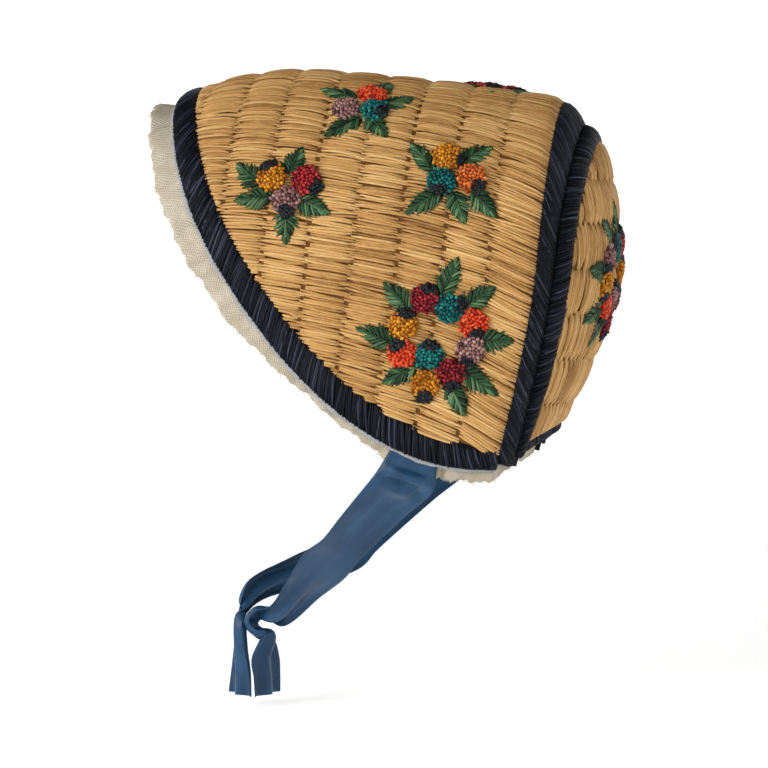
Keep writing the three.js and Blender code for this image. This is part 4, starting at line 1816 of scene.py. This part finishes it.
@dataclass
class Motif:
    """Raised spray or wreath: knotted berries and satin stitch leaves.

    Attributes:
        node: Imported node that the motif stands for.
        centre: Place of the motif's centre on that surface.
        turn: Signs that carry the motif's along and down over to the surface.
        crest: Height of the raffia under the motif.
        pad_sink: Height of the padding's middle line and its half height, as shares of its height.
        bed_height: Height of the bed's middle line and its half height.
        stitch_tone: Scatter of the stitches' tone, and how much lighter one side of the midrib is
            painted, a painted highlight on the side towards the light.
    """

    node: str
    design: Design
    surface: ArchedWall | BackDome
    centre: Pair
    turn: tuple[int, int]
    seed: int
    crest: float = 2.2
    tones: Pair = (0.03, 0.98)
    knots: int = 52
    berry_radius: float = 6.8
    berry_height: float = 2.2
    pad_radius: float = 7.8
    knot_spread: float = 0.05
    knot_turn: float = 6.28
    knot_length: Pair = (0.65, 1.1)
    knot_arch: float = 0.55
    knot_rise: Pair = (0.25, 0.22)
    knot_half: Pair = (0.92, 0.8)
    knot_sizes: Pair = (0.85, 1.2)
    knot_tone: Pair = (0.5, 0.22)
    eye_half: Pair = (2.5, 4.2)
    eye_knots: int = 30
    eye_spare: int = 4
    eye_clear: float = 0.92
    eye_rim: Pair = (0.8, 1.15)
    eye_share: float = 0.6
    pad_stations: int = 9
    pad_shade_tone: float = 0.25
    pad_sink: Pair = (0.3, 0.7)
    stitches: int = 8
    leaf_half: float = 5.5
    leaf_powers: Pair = (0.45, 0.85)
    leaf_peak: float = 0.432
    tuck: float = 2.5
    bed_width: float = 0.86
    bed_height: Pair = (0.25, 0.3)
    bed_shade_tone: float = 0.1
    stitch_from: float = 0.78
    stitch_run: float = 0.27
    stitch_scatter: float = 0.012
    stitch_reach: Pair = (0.78, 1.2)
    stitch_half: Pair = (0.84, 0.6)
    stitch_sizes: Pair = (0.85, 1.12)
    stitch_tone: Pair = (0.16, 0.12)

    def spot(self, along: Array, down: Array) -> tuple[Array, Array]:
        """Place on the surface of a place in the motif."""
        return self.centre[0] + self.turn[0] * along, self.centre[1] + self.turn[1] * down

    def bundle(
        self, along: Array, down: Array, height: Array, half: tuple[Array, Array], tone: Array
    ) -> Strands:
        """Strands of the motif laid on its surface.

        Args:
            along: Places along the motif, strand by station.
            down: Places down the motif.
            height: Heights above the raffia.
            half: Half width and half height of the strands.
            tone: Tone of each strand.

        Returns:
            The strands.
        """
        spot = self.spot(along, down)
        centre = self.surface.point(*spot, self.crest + height)
        return Strands(centre, self.surface.outward(*spot), *half, np.clip(tone, *self.tones))

    def dome(self, berry: Berry, along: Array, down: Array) -> Array:
        """Height of a berry's padding at places in the motif."""
        gone = np.hypot(along - berry.along, down - berry.down) / self.pad_radius
        return self.berry_height * np.maximum(0.0, 1.0 - gone**2) ** 0.6

    def eye_distance(self, berry: Berry, along: Array, down: Array) -> Array:
        """Distance from the middle of a berry's black eye, 1 on its rim.

        Args:
            berry: The berry.
            along: Places along the motif.
            down: Places down the motif.

        Returns:
            The distances.
        """
        out = np.array(berry.eye) - np.array((berry.along, berry.down))
        way = out / np.hypot(*out)
        a, d = along - berry.eye[0], down - berry.eye[1]
        outwards, across = a * way[0] + d * way[1], d * way[0] - a * way[1]
        return np.hypot(outwards / self.eye_half[0], across / self.eye_half[1])

    def knot_bundle(self, berry: Berry, along: Array, down: Array, rng: Random) -> Strands:
        """Knots at places on a berry.

        Args:
            berry: The berry.
            along: Place of each knot along the motif.
            down: Place of each knot down the motif.
            rng: Source of the scatter.

        Returns:
            The knots.
        """
        count = along.size
        way = rng.uniform(0.0, math.pi, count)
        share, width = strand_profile(5, 2.6)
        reach = rng.uniform(*self.knot_length, count)[:, None] * (2.0 * share - 1.0)
        a = along[:, None] + reach * np.cos(way)[:, None]
        d = down[:, None] + reach * np.sin(way)[:, None]
        arch = self.knot_arch * (1.0 - (2.0 * share - 1.0) ** 2)
        height = self.dome(berry, a, d) + arch + rng.normal(*self.knot_rise, count)[:, None]
        size = rng.uniform(*self.knot_sizes, count)[:, None]
        half = tuple(value * size * width for value in self.knot_half)
        return self.bundle(a, d, height, half, rng.normal(*self.knot_tone, count))

    def berry_knots(self, berry: Berry, rng: Random) -> dict[Dye, Strands]:
        """Knots of one berry and of its black eye.

        Args:
            berry: The berry.
            rng: Source of the scatter.

        Returns:
            The knots by dye.
        """
        along, down = spiral(
            (berry.along, berry.down), self.berry_radius, self.knots,
            rng.normal(1.0, self.knot_spread, self.knots), rng.uniform(0.0, self.knot_turn),
        )
        if berry.eye is None:
            return {berry.dye: self.knot_bundle(berry, along, down, rng)}
        clear = self.eye_distance(berry, along, down) > self.eye_clear
        tried = self.eye_spare * self.eye_knots
        eye_along, eye_down = spiral(berry.eye, max(self.eye_half), tried)
        within = self.eye_distance(berry, eye_along, eye_down) < rng.uniform(*self.eye_rim, tried)
        within &= rng.uniform(0.0, 1.0, tried) < self.eye_share
        return {
            berry.dye: self.knot_bundle(berry, along[clear], down[clear], rng),
            Dye.BLACK: self.knot_bundle(berry, eye_along[within], eye_down[within], rng),
        }

    def cushion(self, along: float, down: float, radius: float, height: float) -> Strands:
        """Smooth low dome of padding under the knots, as one thick strand, kept dark as painted
        shade for the gaps between the knots.

        Args:
            along: Place of its centre along the motif.
            down: Place of its centre down the motif.
            radius: Radius of its base.
            height: Height of its middle.

        Returns:
            The padding.
        """
        turn = np.linspace(0.02, math.pi - 0.02, self.pad_stations)[None]
        a = along - radius * np.cos(turn)
        round_ = np.sin(turn)
        middle, thick = (share * height for share in self.pad_sink)
        half = (radius * round_, thick * round_)
        # Painted shade: the padding's dark tone shows in the gaps between the knots.
        tone = np.array([self.pad_shade_tone])
        return self.bundle(a, np.full_like(a, down), np.full_like(a, middle), half, tone)

    def leaf_outline(self, share: Array) -> Array:
        """Half width of a leaf from its root to its pointed tip."""
        share, (root, tip) = np.clip(share, 0.0, 1.0), self.leaf_powers
        return self.leaf_half * share**root * (1.0 - share) ** tip / self.leaf_peak

    def leaf_way(self, leaf: Leaf) -> tuple[Array, Array, float]:
        """Way of a leaf, with the part tucked in under its berry.

        Args:
            leaf: The leaf.

        Returns:
            Its root, its direction and its length.
        """
        run = np.array(leaf.tip, float) - np.array(leaf.root, float)
        way = run / np.hypot(*run)
        root = np.array(leaf.root, float) - way * self.tuck
        return root, way, float(np.hypot(*run)) + self.tuck

    def leaf_bed(self, leaf: Leaf) -> Strands:
        """Flat bed under the stitches of one leaf, as one thick strand, kept dark as painted shade
        between the stitches.

        Args:
            leaf: The leaf.

        Returns:
            The bed.
        """
        root, way, length = self.leaf_way(leaf)
        share = np.linspace(0.02, 0.97, self.pad_stations)[None]
        a, d = (root[k] + way[k] * length * share for k in range(2))
        middle, thick = self.bed_height
        half = (self.bed_width * self.leaf_outline(share), np.full_like(share, thick))
        # Painted shade: the bed's dark tone shows between the leaf stitches.
        return self.bundle(a, d, np.full_like(a, middle), half, np.array([self.bed_shade_tone]))

    def leaf_strands(self, leaf: Leaf, rng: Random) -> Strands:
        """Stitches of one leaf: slanted from the midrib to both edges, with a point at the tip.

        Args:
            leaf: The leaf.
            rng: Source of the scatter.

        Returns:
            The stitches.
        """
        root, way, length = self.leaf_way(leaf)
        count = 2 * self.stitches + 1
        each = np.arange(self.stitches)
        order = np.concatenate([each, each + 0.5, [self.stitches]])
        side = np.concatenate([np.ones(self.stitches), -np.ones(self.stitches), [0.0]])
        begin = self.stitch_from * order / self.stitches
        begin = begin + rng.normal(0.0, self.stitch_scatter, count)
        finish = np.minimum(begin + self.stitch_run, 0.97)
        begin[-1], finish[-1] = 0.25, 1.0
        reach = self.leaf_outline(finish) * rng.uniform(*self.stitch_reach, count) * np.abs(side)
        share, width = strand_profile(6, 2.4)
        forward = length * (begin[:, None] + (finish - begin)[:, None] * share)
        aside = side[:, None] * (0.15 + reach[:, None] * share**1.1)
        a = root[0] + way[0] * forward - way[1] * aside
        d = root[1] + way[1] * forward + way[0] * aside
        height = 0.45 + 0.5 * np.sin(math.pi * np.clip(share * 0.75 + 0.2, 0.0, 1.0))
        height = height + rng.normal(0.0, 0.1, count)[:, None] + 0.2 * (side[:, None] == 0)
        size = rng.uniform(*self.stitch_sizes, count)[:, None]
        scatter, side_highlight = self.stitch_tone
        # Painted highlight: the stitches on one side of the midrib are made lighter, on the side
        # towards the light.
        painted_side_light = side_highlight * side * (1.0 if way[0] > 0 else -1.0)
        half = tuple(value * size * width for value in self.stitch_half)
        return self.bundle(a, d, height, half, 0.5 + painted_side_light + rng.normal(0.0, scatter, count))

    def build(self) -> None:
        """Makes the piece."""
        rng = np.random.default_rng(self.seed)
        leaves = Strands.joined([self.leaf_strands(leaf, rng) for leaf in self.design.leaves])
        knots: dict[Dye, list[Strands]] = {}
        pads = {Dye.LEAF: [self.leaf_bed(leaf) for leaf in self.design.leaves]}
        for berry in self.design.berries:
            for dye, bundle in self.berry_knots(berry, rng).items():
                knots.setdefault(dye, []).append(bundle)
            padding = self.cushion(berry.along, berry.down, self.berry_radius, self.berry_height)
            pads.setdefault(berry.dye, []).append(padding)
            if berry.eye is not None:
                low = self.cushion(*berry.eye, self.eye_half[0], 0.5 * self.berry_height)
                pads.setdefault(Dye.BLACK, []).append(low)
        piece = Piece(self.node, Slot.EMBROIDERY)
        piece.add(leaves.mesh(f"{self.node}_leaves", STRAND_SIDES), Dye.LEAF)
        for dye, bundles in knots.items():
            name = f"{self.node}_{dye.name}"
            piece.add(Strands.joined(bundles).mesh(name, STRAND_SIDES), dye)
        for dye, bundles in pads.items():
            name = f"{self.node}_{dye.name}_pad"
            piece.add(Strands.joined(bundles).mesh(name, PAD_SIDES), dye)
        piece.finish()


@dataclass(frozen=True)
class TieRow:
    """One station of a tie: its front edge and its back edge, in millimetres."""

    front: tuple[float, float, float]
    back: tuple[float, float, float]

    def mirrored(self) -> "TieRow":
        """The same station on the other side of the middle plane."""
        return TieRow((-self.front[0], *self.front[1:]), (-self.back[0], *self.back[1:]))


LEFT_TIE = (
    TieRow((72.4, 15.4, -184.4), (71.6, 41.2, -191.4)),
    TieRow((72, 11.4, -190.1), (70, 40, -196.1)),
    TieRow((66, 2.6, -200.3), (57, 24.9, -209.2)),
    TieRow((58, -6.6, -210.9), (43, 8.3, -224.3)),
    TieRow((50, -15.1, -220.7), (34, -1.7, -233.9)),
    TieRow((40, -25.9, -228.8), (26, -8.3, -241.5)),
    TieRow((29, -36, -243.5), (12, -22.7, -252.4)),
    TieRow((16, -47.7, -257.7), (2, -42.8, -268.1)),
    TieRow((12, -54.4, -259.7), (-5, -54.1, -264.6)),
    TieRow((11, -58, -263.4), (-7, -57.6, -268.4)),
    TieRow((10, -57.6, -266.9), (-8, -57.4, -272)),
    TieRow((9, -54.4, -269.4), (-9, -54.2, -274.6)),
    TieRow((8, -50, -270.2), (-10, -49.8, -276)),
    TieRow((8, -57.2, -284.3), (-13, -47.5, -284.9)),
    TieRow((9, -56, -293), (-13, -47, -293.5)),
    TieRow((9, -55.3, -302.5), (-13, -47, -302.5)),
)
RIGHT_KNOT = (
    TieRow((-22, -43, -236.5), (-17, -30, -249.5)),
    TieRow((0, -60.1, -246.4), (-12, -53.8, -256)),
    TieRow((2, -63.6, -255.5), (-3, -60.6, -261)),
    TieRow((-7, -67, -266), (8, -62.3, -268)),
    TieRow((-9, -69, -277.5), (9, -61, -279)),
    TieRow((-9, -70.5, -290.5), (9, -58.6, -291.5)),
    TieRow((-9, -72, -302.5), (9, -57.8, -302.5)),
)
SHARED_ROWS = 6


def rail(points: Array, share: Array) -> Array:
    """Centripetal spline through points.

    Args:
        points: Control points, one a row.
        share: Places from 0 to 1, even over the spans.

    Returns:
        Points of the spline.
    """
    ends = np.concatenate([[2 * points[0] - points[1]], points, [2 * points[-1] - points[-2]]])
    spans = len(points) - 1
    spot = np.clip(share, 0.0, 1.0) * spans
    span = np.minimum(spot.astype(int), spans - 1)
    local = (spot - span)[:, None]
    p0, p1, p2, p3 = (ends[span + k] for k in range(4))
    d0, d1, d2 = (np.maximum(np.linalg.norm(b - a, axis=1), 1e-6)[:, None] ** 0.5
                  for a, b in ((p0, p1), (p1, p2), (p2, p3)))
    m1 = ((p1 - p0) / d0 - (p2 - p0) / (d0 + d1) + (p2 - p1) / d1) * d1
    m2 = ((p2 - p1) / d1 - (p3 - p1) / (d1 + d2) + (p3 - p2) / d2) * d1
    square, cube = local**2, local**3
    return (
        (2 * cube - 3 * square + 1) * p1 + (cube - 2 * square + local) * m1
        + (3 * square - 2 * cube) * p2 + (cube - square) * m2
    )


@dataclass(frozen=True)
class Puff:
    """Soft swelling or dent of a tie, placed by shares of its length and width.

    Attributes:
        place: Place along the tie.
        length: Half length.
        across: Place across the tie.
        width: Half width.
        height: Height in millimetres, negative for a dent.
    """

    place: float
    length: float
    across: float
    width: float
    height: float


@dataclass
class Tie:
    """Satin ribbon tie on two edge curves; where they come close, it folds to keep its width.

    Attributes:
        rows: Stations of the tie below the edge.
        side: 1 for the left tie and -1 for the right one.
        folds: Number of folds across the ribbon.
        arch: How much the smooth part is arched across.
        slant: How far a puff lies further on across the ribbon.
    """

    node: str
    rows: tuple[TieRow, ...]
    side: int
    width: float = 27.0
    folds: float = 3.0
    thickness: float = 0.5
    arch: float = 1.2
    arch_from: Pair = (0.14, 0.24)
    folds_from: Pair = (0.4, 0.55)
    puffs: tuple[Puff, ...] = (
        Puff(0.132, 0.03, 0.45, 0.6, 2.4), Puff(0.172, 0.010, 0.5, 0.34, -1.7),
        Puff(0.192, 0.013, 0.5, 0.3, 2.2), Puff(0.186, 0.010, 0.82, 0.09, -3.2),
    )
    slant: float = 0.02
    steps: int = 300
    across: int = 24
    sewn_inside: float = 6.0
    sewn_outside: float = 4.0
    sewn_out: float = -2.05

    def sewn_rows(self) -> tuple[TieRow, ...]:
        """Stations where the tie is sewn in under the edge.

        Returns:
            The two stations.
        """
        rows = []
        for inset in (self.sewn_inside, -self.sewn_outside):
            along, down = EDGE.inset(np.array(TIE_PLACE), inset)
            front, back = WALL.point(along, self.side * down, self.sewn_out)
            rows.append(TieRow(tuple(front), tuple(back)))
        return tuple(rows)

    def rails(self, share: Array) -> tuple[Array, Array]:
        """Points of the front and back edge."""
        table = np.array([(row.front, row.back) for row in self.sewn_rows() + self.rows], float)
        return rail(table[:, 0], share), rail(table[:, 1], share)

    def length(self) -> float:
        """Length of the tie along its middle, in millimetres."""
        front, back = self.rails(np.linspace(0.0, 1.0, 800))
        return float(np.linalg.norm(np.diff(0.5 * (front + back), axis=0), axis=1).sum())

    def sheet(self, u: Array, v: Array, side: Array) -> Array:
        """Points of the ribbon, with folds where its edges are closer than its width.

        Args:
            u: Place along the ribbon, from 0 to 1.
            v: Place from the front to the back edge, from 0 to 1.
            side: 0 for the one face and 1 for the other.

        Returns:
            Points in millimetres.
        """
        front, back = self.rails(u)
        step = 0.004
        low = self.rails(np.maximum(u - step, 0.0))
        high = self.rails(np.minimum(u + step, 1.0))
        ahead = (high[0] - low[0]) + (high[1] - low[1])
        chord = np.linalg.norm(back - front, axis=1)
        normal = unit(np.cross(back - front, ahead))
        spare = np.maximum(0.0, self.width / chord - 1.0)
        depth = 2.0 * chord / (math.pi * self.folds) * np.sqrt(spare)
        free = smoothstep(u, *self.folds_from)
        round_ = np.sin(math.pi * v)
        lift = depth * np.sin(math.pi * self.folds * v) * free + (side - 0.5) * self.thickness
        lift = lift + self.arch * round_ * smoothstep(u, *self.arch_from) * (1.0 - free)
        for puff in self.puffs:
            gone = (u - puff.place - self.slant * (v - 0.5)) / puff.length
            near = gone**2 + ((v - puff.across) / puff.width) ** 2
            lift = lift - self.side * puff.height * np.exp(-near) * round_**0.5
        return front + (back - front) * v[:, None] + normal * lift[:, None]

    def build(self) -> None:
        piece = Piece(self.node, Slot.SATIN)
        length = self.length()
        mesh = bent_sheet(self.node, self.steps, self.across, self.sheet, (length, self.width))
        piece.add(mesh, Stuff.SATIN, Stuff.SATIN)
        tie = piece.finish()
        LOG.info("%s: %.0f mm long", self.node, length)


@dataclass
class Studio:
    """Pale floor with a rounded rim, one soft light and the camera, all in metres."""

    azimuth: float = 98.0
    elevation: float = 2.0
    distance: float = 1.4
    target: tuple[float, float, float] = (0.0, 0.007, -0.149)
    lens: float = 134.5
    sensor: float = 36.0
    far: float = 20.0
    floor: float = -0.3085
    floor_radius: float = 2.6
    rim_radius: float = 1.2
    rim_height: float = 2.4
    rim_steps: int = 8
    turn_steps: int = 72
    key_place: tuple[float, float, float] = (1.2, -1.2, 0.35)
    key_size: float = 1.0
    key_power: float = 22.0
    room_light: float = 0.05

    def put(self, name: str, data: bpy.types.ID, place: Vector) -> bpy.types.Object:
        """Puts a camera or a light in its place, facing the target.

        Args:
            name: Name of the object.
            data: Camera or light.
            place: Its place.

        Returns:
            The object.
        """
        made = bpy.data.objects.new(name, data)
        made.location = place
        made.rotation_euler = (Vector(self.target) - place).to_track_quat("-Z", "Y").to_euler()
        bpy.context.scene.collection.objects.link(made)
        return made

    def camera(self) -> None:
        """Adds the camera."""
        turn, rise = math.radians(self.azimuth), math.radians(self.elevation)
        level = math.cos(rise)
        away = Vector((math.sin(turn) * level, -math.cos(turn) * level, math.sin(rise)))
        data = bpy.data.cameras.new("camera")
        data.lens = self.lens
        data.sensor_width = self.sensor
        data.clip_end = self.far
        place = Vector(self.target) + self.distance * away
        bpy.context.scene.camera = self.put("camera", data, place)

    def light(self) -> None:
        """Adds the soft square light."""
        data = bpy.data.lights.new("key", "AREA")
        data.shape = "SQUARE"
        data.size = self.key_size
        data.energy = self.key_power
        self.put("key", data, Vector(self.key_place))

    def room(self) -> None:
        """Adds the floor, turned from one profile, and the even light of the room."""
        bowl = bmesh.new()
        line = [(0.0, self.floor), (self.floor_radius, self.floor)]
        for step in range(1, self.rim_steps + 1):
            angle = step / self.rim_steps * math.pi / 2.0
            reach = self.floor_radius + self.rim_radius * math.sin(angle)
            line.append((reach, self.floor + self.rim_radius * (1.0 - math.cos(angle))))
        line.append((self.floor_radius + self.rim_radius, self.rim_height))
        profile = [bowl.verts.new((reach, 0.0, height)) for reach, height in line]
        edges = [bowl.edges.new(pair) for pair in zip(profile, profile[1:])]
        bmesh.ops.spin(
            bowl, geom=profile + edges, cent=(0, 0, 0), axis=(0, 0, 1), angle=2.0 * math.pi,
            steps=self.turn_steps, use_merge=True,
        )
        bmesh.ops.remove_doubles(bowl, verts=list(bowl.verts), dist=1e-5)
        for face in bowl.faces:
            face.smooth = True
        mesh = bpy.data.meshes.new("floor")
        bowl.to_mesh(mesh)
        bowl.free()
        mesh.materials.append(material_of(Stuff.FLOOR))
        floor = bpy.data.objects.new("floor", mesh)
        bpy.context.scene.collection.objects.link(floor)
        world = bpy.data.worlds.new("room")
        world.use_nodes = True
        background = world.node_tree.nodes["Background"]
        background.inputs["Color"].default_value = (1.0, 1.0, 1.0, 1.0)
        background.inputs["Strength"].default_value = self.room_light
        bpy.context.scene.world = world

    def build(self) -> None:
        """Sets up the room, its light and the view."""
        self.room()
        self.light()
        scene = bpy.context.scene
        scene.view_settings.view_transform = "Standard"
        scene.view_settings.look = "None"


SIDE_MOTIFS = (
    ("front_spray", FRONT_SPRAY, 70.5, 104.5),
    ("crown_spray", CROWN_SPRAY, 98.5, 55.0),
    ("back_spray", BACK_SPRAY, 145.5, 91.5),
    ("side_wreath", SIDE_WREATH, 150.0, 166.0),
)
LEFT_SEED, RIGHT_SEED = 101, 111


def motifs() -> list[Motif]:
    """All the motifs, both sides, the top and the back.

    Returns:
        The motifs, in the order in which they are made.
    """
    made = []
    for number, (name, design, along, down) in enumerate(SIDE_MOTIFS):
        for end, way, seed in (("left", 1, LEFT_SEED), ("right", -1, RIGHT_SEED)):
            place = (along, way * down)
            made.append(Motif(f"{name}_{end}", design, WALL, place, (1, way), seed + number))
    made.append(Motif("top_spray", TOP_SPRAY, WALL, (153.0, 0.0), (1, 1), 121, crest=1.2))
    made.append(Motif("back_wreath", BACK_WREATH, DOME, (15.0, -100.0), (1, -1), 131, crest=1.4))
    return made


def main() -> None:
    """Builds the bonnet and its studio, in order."""
    logging.basicConfig(level=logging.INFO, format="%(name)s: %(message)s")
    studio = Studio()
    studio.camera()
    Tie("left_tie", LEFT_TIE, 1).build()
    right = tuple(row.mirrored() for row in LEFT_TIE[:SHARED_ROWS]) + RIGHT_KNOT
    Tie("right_tie", right, -1).build()
    SidePanel().build()
    BackPanel().build()
    for band in bands():
        band.build()
    EdgeFacing().build()
    Ruffle().build()
    for motif in motifs():
        motif.build()
    studio.build()


if __name__ == "__main__":
    main()
